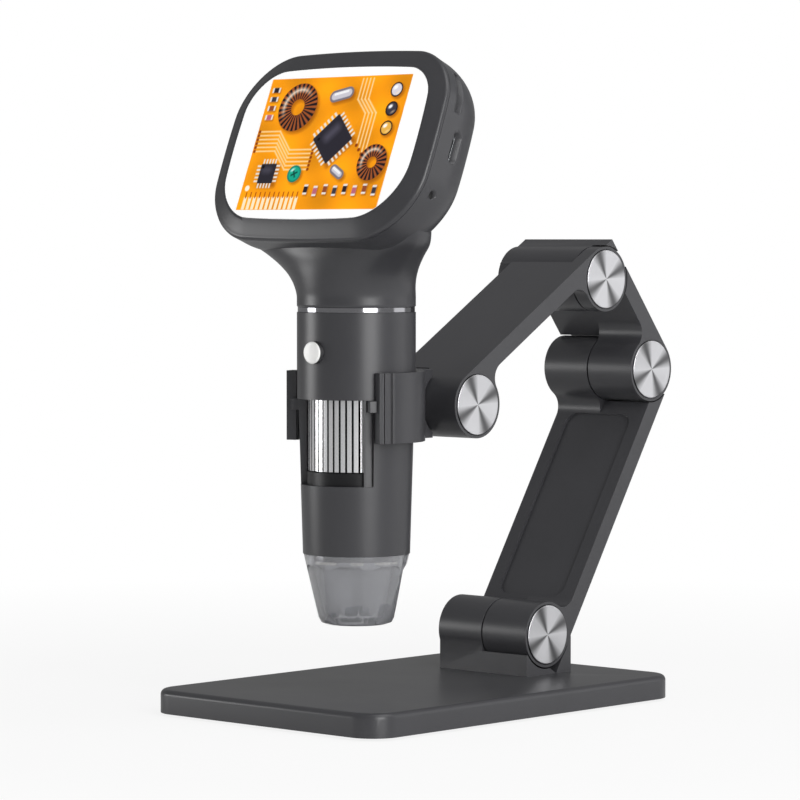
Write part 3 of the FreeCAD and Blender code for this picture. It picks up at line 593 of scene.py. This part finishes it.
def wound_ring(canvas, x, y, centre, middle, half, turns):
    """A ring core wound with copper wire: it covers where the radius lies near the ring's middle, and the
    wires are a cosine of the angle."""
    px, py = local(x, y, centre)
    radius, angle = np.hypot(px, py), np.arctan2(py, px)
    canvas = shaded(canvas, np.abs(np.hypot(px - 1.0, py + 0.9) - middle) - half, 1.4)
    ring = soft(np.abs(radius - middle) - half, 0.16)
    canvas = over(canvas, ring, srgb("#17141A"))
    canvas = over(canvas, ring * soft(-0.5 * np.cos(angle * turns), 0.5), srgb("#A2552A"))
    lit_side = soft(0.3 - np.cos(angle - 2.2), 0.8)
    lit_band = soft(np.abs(radius - middle - half * 0.2) - half * 0.22, half * 0.5)
    return over(canvas, 0.85 * lit_side * lit_band, srgb("#FFF3E0"))


def square_chip(canvas, x, y, centre, half, turn, pitch=1.5):
    """A flat square chip with legs along all four sides: the legs are a cosine along each side."""
    px, py = local(x, y, centre, turn)
    shade = (centre[0] + 0.9, centre[1] - 0.8)
    canvas = shaded(canvas, box_distance(x, y, shade, (half + 0.6, half + 0.6), 0.6, turn), 1.4)
    for along, beyond in ((px, py), (py, px)):
        leg = np.maximum(np.abs(along) - half + 0.4, -0.25 * np.cos(2 * math.pi * along / pitch))
        canvas = paint(canvas, np.maximum(np.abs(beyond) - half - 1.5, leg), "#E9E2DA", 0.3)
    canvas = paint(canvas, box_distance(x, y, centre, (half, half), 0.4, turn), "#2A2831")
    sheen = (centre[0] - half * 0.15, centre[1] + half * 0.35)
    gleam = box_distance(x, y, sheen, (half * 0.6, half * 0.25), 1.2, turn)
    canvas = paint(canvas, gleam, "#5E5B6B", 2.2, 0.6)
    return paint(canvas, disc_distance(px, py, (-half * 0.7, half * 0.7), 0.5), "#0F0E13", 0.3)


def metal_case(canvas, x, y, centre, half, turn):
    """A drawn metal case lying flat: a rounded box with a raised middle and a bright line."""
    shade = (centre[0] + 0.9, centre[1] - 0.8)
    canvas = shaded(canvas, box_distance(x, y, shade, half, half[1], turn), 1.3)
    canvas = paint(canvas, box_distance(x, y, centre, half, half[1], turn), "#77747F")
    inner = (half[0] - 0.7, half[1] - 0.7)
    canvas = paint(canvas, box_distance(x, y, centre, inner, inner[1], turn), "#C9C6CF")
    shine = (centre[0] - 0.2, centre[1] + half[1] * 0.3)
    return paint(canvas, box_distance(x, y, shine, (half[0] * 0.6, 0.3), 0.3, turn), "#FFFFFF", 0.6)


def dome(canvas, x, y, centre, radius, body):
    """A round lens of coloured resin: a dark rim, the body and two bright spots."""
    canvas = shaded(canvas, disc_distance(x, y, (centre[0] + 0.8, centre[1] - 0.7), radius), 1.2)
    canvas = paint(canvas, disc_distance(x, y, centre, radius), "#120F14")
    canvas = paint(canvas, disc_distance(x, y, centre, radius * 0.82), body)
    spot = (centre[0] - radius * 0.28, centre[1] + radius * 0.3)
    canvas = paint(canvas, oval_distance(x, y, spot, (radius * 0.34, radius * 0.24), 30), "#FFFFFF", 0.5)
    low = (centre[0] + radius * 0.3, centre[1] - radius * 0.42)
    glint = soft(oval_distance(x, y, low, (radius * 0.3, radius * 0.12), 30), 0.5)
    return over(canvas, 0.6 * glint, srgb("#FFE2B8"))


def trimmer(canvas, x, y, centre, radius):
    """A green trimmer with a crossed slot."""
    canvas = shaded(canvas, disc_distance(x, y, (centre[0] + 0.8, centre[1] - 0.7), radius), 1.2)
    canvas = paint(canvas, disc_distance(x, y, centre, radius), "#0F7F6C")
    canvas = paint(canvas, disc_distance(x, y, centre, radius * 0.8), "#17A488")
    for turn in (25, 115):
        canvas = paint(canvas, box_distance(x, y, centre, (radius * 0.5, 0.28), 0.1, turn), "#0A4A40")
    shine = (centre[0] - radius * 0.35, centre[1] + radius * 0.45)
    return paint(canvas, oval_distance(x, y, shine, (0.8, 0.4), 30), "#E2FFF8", 0.5, 0.8)


def tile(canvas, x, y, centre, turn, body):
    """A small flat part with two tinned ends."""
    shade = (centre[0] + 0.4, centre[1] - 0.4)
    canvas = shaded(canvas, box_distance(x, y, shade, (1.6, 0.8), 0.2, turn), 0.8)
    canvas = paint(canvas, box_distance(x, y, centre, (1.6, 0.8), 0.2, turn), "#E7E3DF")
    return paint(canvas, box_distance(x, y, centre, (0.95, 0.8), 0.05, turn), body)


def track(canvas, x, y, corners, half_width):
    """A bent track: a round-ended rod along each straight stretch."""
    for start, end in zip(corners, corners[1:]):
        canvas = paint(canvas, rod_distance(x, y, start, end, half_width), "#FFD79A", 0.35)
    return canvas


def pad(canvas, x, y, centre, radius):
    """A round pad at a track's end."""
    return paint(canvas, disc_distance(x, y, centre, radius), "#8A3A08", 0.3)


def board_picture(x, y, ground):
    """A made-up board seen from straight above: wound rings, square chips, metal cases, resin domes, a green
    trimmer, rows of tiles and a comb of contacts, joined by bent tracks with round pads."""
    canvas = np.ones(x.shape + (3,)) * ground
    warm = (0.06 * np.sin(x * 0.31 + y * 0.17) + 0.05 * np.sin(y * 0.42 - x * 0.12))[..., None]
    canvas = np.clip(canvas * (1 + warm), 0, 1)
    for lane in range(6):
        shift = lane * 1.25
        corners = ((-27.4, 4.0 - shift), (-19.0, 4.0 - shift), (-13.0, -2.0 - shift), (-3.5, -2.0 - shift))
        canvas = track(canvas, x, y, corners, 0.24)
        for spot in (corners[0], corners[3]):
            canvas = pad(canvas, x, y, spot, 0.5)
    for lane in range(4):
        shift = lane * 1.4
        left, right = 9.0 + shift, 13.5 + shift
        corners = ((left, 20.0), (left, 13.5), (right, 9.0), (right, -1.0 - shift))
        canvas = track(canvas, x, y, corners, 0.26)
        canvas = pad(canvas, x, y, corners[3], 0.55)
    for finger in range(12):
        spot = (-25.6 + finger * 1.9, -18.8)
        canvas = paint(canvas, box_distance(x, y, spot, (0.6, 2.0), 0.2), "#FFE9C4")
        lead = (spot[0], spot[1] + 2.6)
        canvas = paint(canvas, box_distance(x, y, lead, (0.2, 1.0), 0.1), "#A34B08", 0.3)
    bodies = ("#2A2026", "#B7657A", "#8E4A2E", "#3A3844")
    for number in range(8):
        canvas = tile(canvas, x, y, (-2.0 + number * 3.9, -14.6 - 0.5 * (number % 2)), 90, bodies[number % 4])
    for number in range(4):
        canvas = tile(canvas, x, y, (-25.4, 8.6 + number * 2.9), 0, bodies[(number + 1) % 4])
    canvas = wound_ring(canvas, x, y, (-14.6, 11.6), 5.1, 2.5, 26)
    canvas = wound_ring(canvas, x, y, (21.4, -6.4), 3.7, 1.9, 20)
    canvas = square_chip(canvas, x, y, (3.2, 1.2), 5.6, 45)
    canvas = square_chip(canvas, x, y, (-19.6, -9.4), 3.1, 0, 1.2)
    canvas = metal_case(canvas, x, y, (2.0, 15.2), (4.6, 1.9), 12)
    canvas = metal_case(canvas, x, y, (8.6, -9.2), (3.2, 1.5), -30)
    canvas = trimmer(canvas, x, y, (-8.4, -9.6), 2.7)
    for number, body in enumerate(("#D9D4DE", "#3C3944", "#E8B04A")):
        canvas = dome(canvas, x, y, (23.4, 16.2 - number * 6.0), 2.3, body)
    return paint(canvas, disc_distance(x, y, (-26.0, -14.0), 0.9), "#FFF3E0", 0.3)


def across_outline(edge, columns, rows):
    """Rows of points, level and evenly spaced, each from the outline's left side to its right side."""
    height = np.linspace(edge[:, 1].min(), edge[:, 1].max(), rows)
    right = edge[edge[:, 0] > 0]
    left = edge[edge[:, 0] <= 0]
    right = right[np.argsort(right[:, 1])]
    left = left[np.argsort(left[:, 1])]
    reach_right = np.interp(height, right[:, 1], right[:, 0])
    reach_left = np.interp(height, left[:, 1], left[:, 0])
    share = np.linspace(0, 1, columns)
    x = reach_left[:, None] * (1 - share) + reach_right[:, None] * share
    return x, np.repeat(height[:, None], columns, axis=1)


def make_screen():
    """The cover glass: rows of points across the outline, flat, with the picture held in a colour attribute,
    and a rim and a back behind them."""
    edge = outline(*glass_half, glass_corners, glass_bulge)
    columns, rows = 381, 251
    x, y = across_outline(edge, columns, rows)
    ground = in_srgb(np.array(bpy.context.scene.microscope_finish.board))
    # The white print round the picture glows along with it: a painted glow on the print, while the picture
    # inside is the lit panel
    inside = soft(box_distance(x, y, (0, 0), picture_half), 0.12)
    colour = over(np.ones(x.shape + (3,)) * srgb("#FCFCFC"), inside, board_picture(x, y, ground))
    face = on_head(np.stack([x, y], axis=-1).reshape(-1, 2), np.full(x.size, -glass_sunk))
    count = face.shape[0]
    around = len(edge)
    rim_front = on_head(edge, np.full(around, -glass_sunk))
    rim_back = on_head(edge, np.full(around, -glass_back))
    points = np.concatenate([face, rim_front, rim_back]) * MM
    row = np.arange(rows - 1)[:, None] * columns
    col = np.arange(columns - 1)[None, :]
    quads = np.stack([row + col, row + col + 1, row + col + 1 + columns, row + col + columns], axis=-1)
    step = np.arange(around)
    after = (step + 1) % around
    wall = np.stack([count + step, count + around + step, count + around + after, count + after], axis=-1)
    back = [(count + around + step[::-1]).tolist()]
    mesh = bpy.data.meshes.new("screen_face")
    mesh.from_pydata(points.tolist(), [], quads.reshape(-1, 4).tolist() + wall.tolist() + back)
    picture = np.ones((len(points), 4))
    picture[:count, :3] = in_linear_light(colour).reshape(-1, 3) * panel_share
    # Painted glow: the glass's rim and back glow as bright as the white print
    picture[count:, :3] = 0.95 * panel_share
    layer = mesh.attributes.new("picture", "FLOAT_COLOR", "POINT")
    layer.data.foreach_set("color", picture.ravel())
    piece = placed(mesh, "screen_face", "microscope", "lit_screen")
    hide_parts("screen_glass")


def make_head():
    """The head's frame and back as outlines stacked from the glass's edge out over the bevel, down the side
    and round the back: the rounding is a quarter ellipse, so its inset is one minus the cosine and its depth
    is the sine of the same angle."""
    shape = bpy.context.scene.microscope_shape
    glass = outline(glass_half[0] + glass_gap, glass_half[1] + glass_gap, glass_corners, glass_bulge)
    inner_lip = glass * 1.006
    rings = [(glass, -1.4), (glass * 1.001, -0.1), (inner_lip, 0.0)]

    def outer(inset):
        corners = [max(radius - inset * 0.55, 4.0) for radius in head_corners]
        return outline(head_half[0] - inset, head_half[1] - inset, corners, head_bulge)

    edge_in = shape.bezel_edge / MM * 1.15
    bevel_drop, edge_drop = 1.55, 1.3
    outer_lip = outer(edge_in)
    for share in np.linspace(0, 1, 8)[1:]:
        rings.append((inner_lip * (1 - share) + outer_lip * share, -bevel_drop * share ** 1.1))
    for turn in np.radians((22, 45, 68, 90)):
        rings.append((outer(edge_in * (1 - math.sin(turn))), -bevel_drop - edge_drop * (1 - math.cos(turn))))
    # The seam between the frame and the back is a shallow groove
    rings += [(outer(0.02), -3.0), (outer(0.14), -3.06), (outer(0.14), -3.2), (outer(0.02), -3.26)]
    side_in, side_end, back_end = 0.1, 7.5, 22.3
    rings.append((outer(side_in), -6.0))
    round_in = shape.head_round / MM
    for turn in np.radians(np.linspace(4, 88, 18)):
        inset = side_in + round_in * (1 - math.cos(turn))
        rings.append((outer(inset), -side_end - (back_end - side_end) * math.sin(turn)))
    back = outer(side_in + round_in)
    rings += [(back * share, -back_end - 0.08 * (1 - share)) for share in (0.92, 0.7, 0.4)]
    stack = np.stack([on_head(points, np.full(len(points), out)) for points, out in rings])
    mesh = grid_mesh("head_shell", stack, 50.0)
    piece = placed(mesh, "head_shell", "microscope", "moulded_abs")
    opened(piece, (
        side_plug("port_hole", 2.0, 10.6, 4.75, 1.8, 1.78, 31.5),
        side_plug("card_hole", 18.0, 8.0, 6.2, 0.9, 0.3, 25.5),
        side_plug("lamp_hole", -13.6, 7.6, 1.25, 1.25, 1.24, 35.5),
    ))
    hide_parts("screen_bezel", "rear_housing")


def make_neck():
    """The neck as ovals stacked from the trim ring up into the head. Each station has its height, shift to
    the front, half width, front reach and rear reach. A cubic runs through them, and straight lines below
    3 mm."""
    stations = np.array((
        (0.0, 0.0, 17.24, 17.24, 17.24), (0.25, 0.0, 17.44, 17.44, 17.44), (3.0, 0.0, 17.46, 17.44, 17.44),
        (6.0, 0.8, 18.2, 17.0, 17.6), (9.0, 2.0, 20.2, 16.1, 17.6), (12.0, 3.9, 23.4, 14.4, 18.2),
        (15.0, 6.2, 27.5, 12.3, 19.2), (18.0, 8.7, 32.0, 9.7, 20.4), (21.0, 10.3, 34.2, 8.3, 20.8),
        (24.0, 11.1, 35.2, 7.6, 20.2), (28.0, 11.0, 35.2, 6.9, 18.6), (33.0, 10.0, 34.0, 6.0, 16.4),
        (38.6, 8.0, 31.0, 2.0, 12.0),
    ))
    rise = np.concatenate([[0.0, 0.25], np.linspace(0.8, 38.6, 60)])
    slope = np.gradient(stations, stations[:, 0], axis=0)
    spot = np.clip(np.searchsorted(stations[:, 0], rise, side="right") - 1, 0, len(stations) - 2)
    gap = (stations[spot + 1, 0] - stations[spot, 0])[:, None]
    t = (rise[:, None] - stations[spot, :1]) / gap
    values = ((2 * t**3 - 3 * t**2 + 1) * stations[spot] + (t**3 - 2 * t**2 + t) * gap * slope[spot]
              + (-2 * t**3 + 3 * t**2) * stations[spot + 1] + (t**3 - t**2) * gap * slope[spot + 1])
    low = rise < 3.0
    values[low] = np.column_stack([np.interp(rise[low], stations[:, 0], column) for column in stations.T])
    turn = np.linspace(0, 2 * math.pi, 128, endpoint=False)
    shift, half_x, front, rear = (values[:, k:k + 1] for k in (1, 2, 3, 4))
    sine = np.sin(turn)
    reach = np.where(sine > 0, rear, front)
    x = half_x * np.cos(turn)
    y = barrel_centre[1] - shift + reach * sine
    z = np.repeat((trim_high[2] + rise)[:, None], len(turn), axis=1)
    mesh = grid_mesh("neck_shell", np.stack([x, y, z], axis=-1), 50.0)
    placed(mesh, "neck_shell", "microscope", "moulded_abs")


def side_plug(name, up, deep, half_up, half_deep, corner, inner, outer=45.0):
    """A plug through the head's right side: a rounded outline across height and depth, carried along X."""
    flat = outline(half_up, half_deep, (corner,) * 4, 0.0, 4, 8)
    across = (up + flat[:, :1]) * head_up + (flat[:, 1:] - deep) * head_out
    rings = [head_centre + x * head_across + across for x in (inner, outer)]
    return grid_mesh(name, np.stack(rings), 50.0)


def opened(piece, plugs):
    """Cuts each plug out of a piece and keeps the result as the piece's plain mesh."""
    cutters = []
    for plug in plugs:
        cutter = bpy.data.objects.new(plug.name, plug)
        bpy.context.scene.collection.objects.link(cutter)
        cutters.append(cutter)
        step = piece.modifiers.new(plug.name, "BOOLEAN")
        step.operation = "DIFFERENCE"
        step.solver = "EXACT"
        step.object = cutter
    state = piece.evaluated_get(bpy.context.evaluated_depsgraph_get())
    mesh = bpy.data.meshes.new_from_object(state)
    piece.modifiers.clear()
    piece.data = mesh
    for cutter in cutters:
        bpy.data.objects.remove(cutter)


class MICROSCOPE_OT_head(bpy.types.Operator):
    """Makes the head's frame, its back and the neck"""
    bl_idname = "microscope.head"
    bl_label = "Head"

    def execute(self, context):
        make_head()
        make_neck()
        return {"FINISHED"}


class MICROSCOPE_OT_screen(bpy.types.Operator):
    """Makes the cover glass with its picture"""
    bl_idname = "microscope.screen"
    bl_label = "Screen"

    def execute(self, context):
        make_screen()
        dressed("display_panel", "blackened_abs")
        return {"FINISHED"}


class MICROSCOPE_OT_ports(bpy.types.Operator):
    """Makes the charging port, the card socket and the status lamp"""
    bl_idname = "microscope.ports"
    bl_label = "Ports"

    def execute(self, context):
        edge = context.scene.microscope_shape.fine_edge
        dressed("charging_port", "plated_steel", edge / 2)
        dressed("card_socket", "plated_steel", edge / 2)
        dressed("status_lamp", "blackened_abs", edge / 2)
        return {"FINISHED"}


class MICROSCOPE_OT_barrel(bpy.types.Operator):
    """Dresses the sleeve, the barrel and the trim ring"""
    bl_idname = "microscope.barrel"
    bl_label = "Barrel"

    def execute(self, context):
        edge = context.scene.microscope_shape.fine_edge
        dressed("grip_sleeve", "moulded_abs", edge)
        dressed("barrel_shell", "moulded_abs", edge)
        dressed("trim_ring", "polished_chrome", edge)
        return {"FINISHED"}


class MICROSCOPE_OT_focus(bpy.types.Operator):
    """Dresses the focus ring, its tube and the lenses"""
    bl_idname = "microscope.focus"
    bl_label = "Focus"

    def execute(self, context):
        dressed("focus_ring", "chromed_ribs")
        dressed("guide_tube", "anodised_black", context.scene.microscope_shape.fine_edge)
        dressed("lens_carriage", "anodised_black")
        dressed("focus_pin", "plated_steel")
        dressed("front_lens", "optical_glass")
        dressed("rear_lens", "optical_glass")
        return {"FINISHED"}


class MICROSCOPE_OT_nose(bpy.types.Operator):
    """Dresses the clear nose, its board and its lamps"""
    bl_idname = "microscope.nose"
    bl_label = "Nose"

    def execute(self, context):
        dressed("nose_cone", "smoky_polycarbonate", context.scene.microscope_shape.arm_edge, 25.0)
        dressed("lamp_board", "blackened_abs")
        dressed("lamps", "lamp_resin", context.scene.microscope_shape.fine_edge)
        return {"FINISHED"}


class MICROSCOPE_OT_button(bpy.types.Operator):
    """Dresses the shutter button and what is behind it"""
    bl_idname = "microscope.button"
    bl_label = "Shutter button"

    def execute(self, context):
        dressed("shutter_button", "white_plastic", context.scene.microscope_shape.fine_edge)
        dressed("button_switch", "blackened_abs")
        dressed("button_board", "solder_mask")
        return {"FINISHED"}


class MICROSCOPE_OT_inside(bpy.types.Operator):
    """Dresses the boards, the sensor and the cell inside the housing"""
    bl_idname = "microscope.inside"
    bl_label = "Inside"

    def execute(self, context):
        for node in ("main_board", "sensor_board"):
            dressed(node, "solder_mask")
        dressed("image_sensor", "blackened_abs")
        dressed("battery", "cell_foil", context.scene.microscope_shape.arm_edge)
        return {"FINISHED"}


class MICROSCOPE_OT_stand(bpy.types.Operator):
    """Dresses the base, the arms and the clip"""
    bl_idname = "microscope.stand"
    bl_label = "Stand"

    def execute(self, context):
        shape = context.scene.microscope_shape
        for node in ("base_cover", "lower_arm", "short_link", "upper_arm", "clip"):
            dressed(node, "moulded_abs", shape.arm_edge)
        dressed("base_floor", "moulded_abs", shape.fine_edge)
        dressed("base_weight", "plated_steel", shape.fine_edge)
        dressed("base_screws", "plated_steel")
        dressed("grip_pad", "pad_rubber", shape.fine_edge)
        return {"FINISHED"}


def spin_uv(mesh, centre, radius):
    """A map for a turned cap: the share of a whole turn across, and the share of the radius up."""
    uv = mesh.uv_layers.new(name="spin")
    loops = np.zeros(len(mesh.loops), int)
    mesh.loops.foreach_get("vertex_index", loops)
    places = np.zeros(len(mesh.vertices) * 3)
    mesh.vertices.foreach_get("co", places)
    places = places.reshape(-1, 3)[loops] / MM - np.array([0, centre[0], centre[1]])
    angle = np.arctan2(places[:, 2], places[:, 1]) / (2 * math.pi)
    sizes = np.zeros(len(mesh.polygons), int)
    mesh.polygons.foreach_get("loop_total", sizes)
    owner = np.repeat(np.arange(len(sizes)), sizes)
    # A face that crosses the seam takes its angles past a whole turn, and the hub takes its face's mean
    biggest = np.full(len(sizes), -9.0)
    np.maximum.at(biggest, owner, angle)
    angle = np.where(biggest[owner] - angle > 0.5, angle + 1.0, angle)
    reach = np.hypot(places[:, 1], places[:, 2])
    off_hub = reach > 0.05
    total = np.zeros(len(sizes))
    np.add.at(total, owner, np.where(off_hub, angle, 0))
    away = np.zeros(len(sizes))
    np.add.at(away, owner, off_hub.astype(float))
    angle = np.where(off_hub, angle, (total / np.maximum(away, 1))[owner])
    uv.data.foreach_set("uv", np.stack([angle, reach / radius], axis=-1).ravel())


def spun_cap(node):
    """A hinge cap turned about X: a face dished a little toward its middle, and a round edge."""
    low, high = millimetres(node)
    centre = ((low + high) / 2.0)[1:]
    radius = (high[2] - low[2]) / 2.0
    round_edge = 0.3
    profile = [(0.35, high[0] - 0.12), (radius * 0.5, high[0] - 0.06), (radius - 0.75, high[0] - 0.02)]
    profile += arc((radius - round_edge, high[0] - round_edge), round_edge, 100, 0)
    profile += [(radius, low[0] + 0.1), (radius - 0.1, low[0]), (0.5, low[0])]
    mesh = turned(node + "_spun", profile, centre, 96)
    spin_uv(mesh, centre, radius)
    piece = placed(mesh, node + "_spun", body_holding(node), "spun_aluminium")
    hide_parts(node)


class MICROSCOPE_OT_hinges(bpy.types.Operator):
    """Makes the spun caps and dresses the bolts, nuts and washers"""
    bl_idname = "microscope.hinges"
    bl_label = "Hinges"

    def execute(self, context):
        for name in ("base", "elbow", "top", "clip"):
            spun_cap(name + "_hinge_cap")
            dressed(name + "_hinge_bolt", "plated_steel", 0.1 * MM)
            dressed(name + "_hinge_nut", "plated_steel", 0.1 * MM)
            dressed(name + "_hinge_washer", "blackened_abs")
        return {"FINISHED"}


def lamp(name, direction, height, distance, width, tall, power):
    """A soft rectangular lamp facing the microscope from a compass direction, in metres and watts."""
    data = bpy.data.lights.new(name, "AREA")
    data.shape = "RECTANGLE"
    data.size, data.size_y = width, tall
    data.energy = power
    lit = bpy.data.objects.new(name, data)
    bpy.context.scene.collection.objects.link(lit)
    turn = math.radians(direction)
    place = Vector((math.sin(turn) * distance, -math.cos(turn) * distance, height))
    lit.location = place
    lit.rotation_mode = "QUATERNION"
    lit.rotation_quaternion = (Vector((0, 0, 0.1)) - place).to_track_quat("-Z", "Y")


def make_surroundings(scene, ambient):
    """White to the camera and through clear pieces, dim in reflections, and an even light for the rest."""
    world = bpy.data.worlds.new("surroundings")
    world.use_nodes = True
    scene.world = world
    tree = world.node_tree
    tree.nodes.clear()
    in_reflections = 0.07
    path = add(tree, "ShaderNodeLightPath")
    clear = add(tree, "ShaderNodeMath", {0: path.outputs["Is Camera Ray"],
                                         1: path.outputs["Is Transmission Ray"]}, operation="MAXIMUM")
    glossy = add(tree, "ShaderNodeMath", {0: path.outputs["Is Glossy Ray"], 1: in_reflections},
                 operation="MULTIPLY")
    bright = add(tree, "ShaderNodeMath", {0: clear.outputs[0], 1: glossy.outputs[0]}, operation="MAXIMUM")
    strength = add(tree, "ShaderNodeMath", {0: bright.outputs[0], 1: ambient}, operation="MAXIMUM")
    surround = add(tree, "ShaderNodeBackground", {"Color": (1, 1, 1, 1), "Strength": strength.outputs[0]})
    add(tree, "ShaderNodeOutputWorld", {"Surface": surround.outputs["Background"]})


def make_floor(scene):
    """A pale matt floor that the camera sees nearly white by the stand, where it keeps the shadow, and plain
    white farther out."""
    reach = 6.0
    near, far = 0.16, 0.42
    white_near, white_far = 0.86, 1.0
    mesh = bpy.data.meshes.new("floor")
    mesh.from_pydata([(-reach, -reach, 0), (reach, -reach, 0), (reach, reach, 0), (-reach, reach, 0)], [],
                     [(0, 1, 2, 3)])
    floor = bpy.data.objects.new("floor", mesh)
    scene.collection.objects.link(floor)
    material, tree = empty_material("pale_floor")
    path = add(tree, "ShaderNodeLightPath")
    matt = add(tree, "ShaderNodeBsdfDiffuse", {"Color": (0.86, 0.86, 0.86, 1)})
    glow = add(tree, "ShaderNodeEmission", {"Color": (1, 1, 1, 1), "Strength": 1.0})
    away = add(tree, "ShaderNodeVectorMath", {0: object_place(tree)}, operation="LENGTH")
    fade = add(tree, "ShaderNodeMapRange", {"Value": away.outputs["Value"], "From Min": near, "From Max": far,
                                            "To Min": white_near, "To Max": white_far})
    share = add(tree, "ShaderNodeMath", {0: path.outputs["Is Camera Ray"], 1: fade.outputs["Result"]},
                operation="MULTIPLY")
    mixed = add(tree, "ShaderNodeMixShader", {0: share.outputs[0], 1: matt.outputs[0], 2: glow.outputs[0]})
    shown(tree, mixed.outputs[0])
    mesh.materials.append(material)


def make_camera(scene):
    """The camera, where a fit to the photo's perspective puts it."""
    azimuth, pitch = math.radians(42.785), math.radians(2.518)
    place = Vector((742.77, -810.09, 140.35)) * MM
    ahead = np.array([-math.sin(azimuth), math.cos(azimuth), 0.0])
    right = np.array([math.cos(azimuth), math.sin(azimuth), 0.0])
    level = np.array([0.0, 0.0, 1.0])
    forward = math.cos(pitch) * ahead - math.sin(pitch) * level
    upward = math.sin(pitch) * ahead + math.cos(pitch) * level
    data = bpy.data.cameras.new("camera")
    data.lens = 165.81
    data.sensor_width = 36.0
    data.clip_start, data.clip_end = 0.05, 50.0
    camera = bpy.data.objects.new("camera", data)
    scene.collection.objects.link(camera)
    turned_to = Matrix((right, upward, -forward)).transposed().to_4x4()
    turned_to.translation = place
    camera.matrix_world = turned_to
    scene.camera = camera


class MICROSCOPE_OT_stage(bpy.types.Operator):
    """Makes the pale floor, the even surroundings, the soft lamps and the camera"""
    bl_idname = "microscope.stage"
    bl_label = "Stage"

    def execute(self, context):
        scene = context.scene
        stage = scene.microscope_stage
        scene.view_settings.view_transform = "Standard"
        make_surroundings(scene, stage.ambient)
        make_floor(scene)
        lamp("key_lamp", 70.0, 0.42, 1.3, 0.65, 0.9, stage.key_power)
        lamp("side_lamp", -54.0, 0.12, 1.2, 0.45, 0.35, stage.side_power)
        lamp("top_lamp", 103.0, 1.0, 0.5, 0.8, 0.8, stage.top_power)
        lamp("cap_lamp", 137.0, 0.35, 1.2, 0.7, 0.9, stage.cap_power)
        make_camera(scene)
        return {"FINISHED"}


class MICROSCOPE_PT_pieces(bpy.types.Panel):
    """Lists the pieces and their settings"""
    bl_idname = "MICROSCOPE_PT_pieces"
    bl_label = "Microscope"
    bl_space_type = "VIEW_3D"
    bl_region_type = "UI"
    bl_category = "Microscope"

    def draw(self, context):
        for settings in (context.scene.microscope_finish, context.scene.microscope_shape,
                         context.scene.microscope_stage):
            box = self.layout.box()
            for name in settings.__annotations__:
                box.prop(settings, name)
        for operator in operators:
            self.layout.operator(operator.bl_idname)


operators = (
    MICROSCOPE_OT_stage, MICROSCOPE_OT_stand, MICROSCOPE_OT_hinges, MICROSCOPE_OT_barrel, MICROSCOPE_OT_focus,
    MICROSCOPE_OT_nose, MICROSCOPE_OT_button, MICROSCOPE_OT_head, MICROSCOPE_OT_screen, MICROSCOPE_OT_ports,
    MICROSCOPE_OT_inside,
)
groups = (FinishSettings, ShapeSettings, StageSettings)


def register():
    for entry in groups + operators + (MICROSCOPE_PT_pieces,):
        bpy.utils.register_class(entry)
    bpy.types.Scene.microscope_finish = PointerProperty(type=FinishSettings)
    bpy.types.Scene.microscope_shape = PointerProperty(type=ShapeSettings)
    bpy.types.Scene.microscope_stage = PointerProperty(type=StageSettings)


def unregister():
    del bpy.types.Scene.microscope_finish
    del bpy.types.Scene.microscope_shape
    del bpy.types.Scene.microscope_stage
    for entry in reversed(groups + operators + (MICROSCOPE_PT_pieces,)):
        bpy.utils.unregister_class(entry)


def main():
    register()
    for operator in operators:
        group, name = operator.bl_idname.split(".")
        getattr(getattr(bpy.ops, group), name)()


if __name__ == "__main__":
    main()
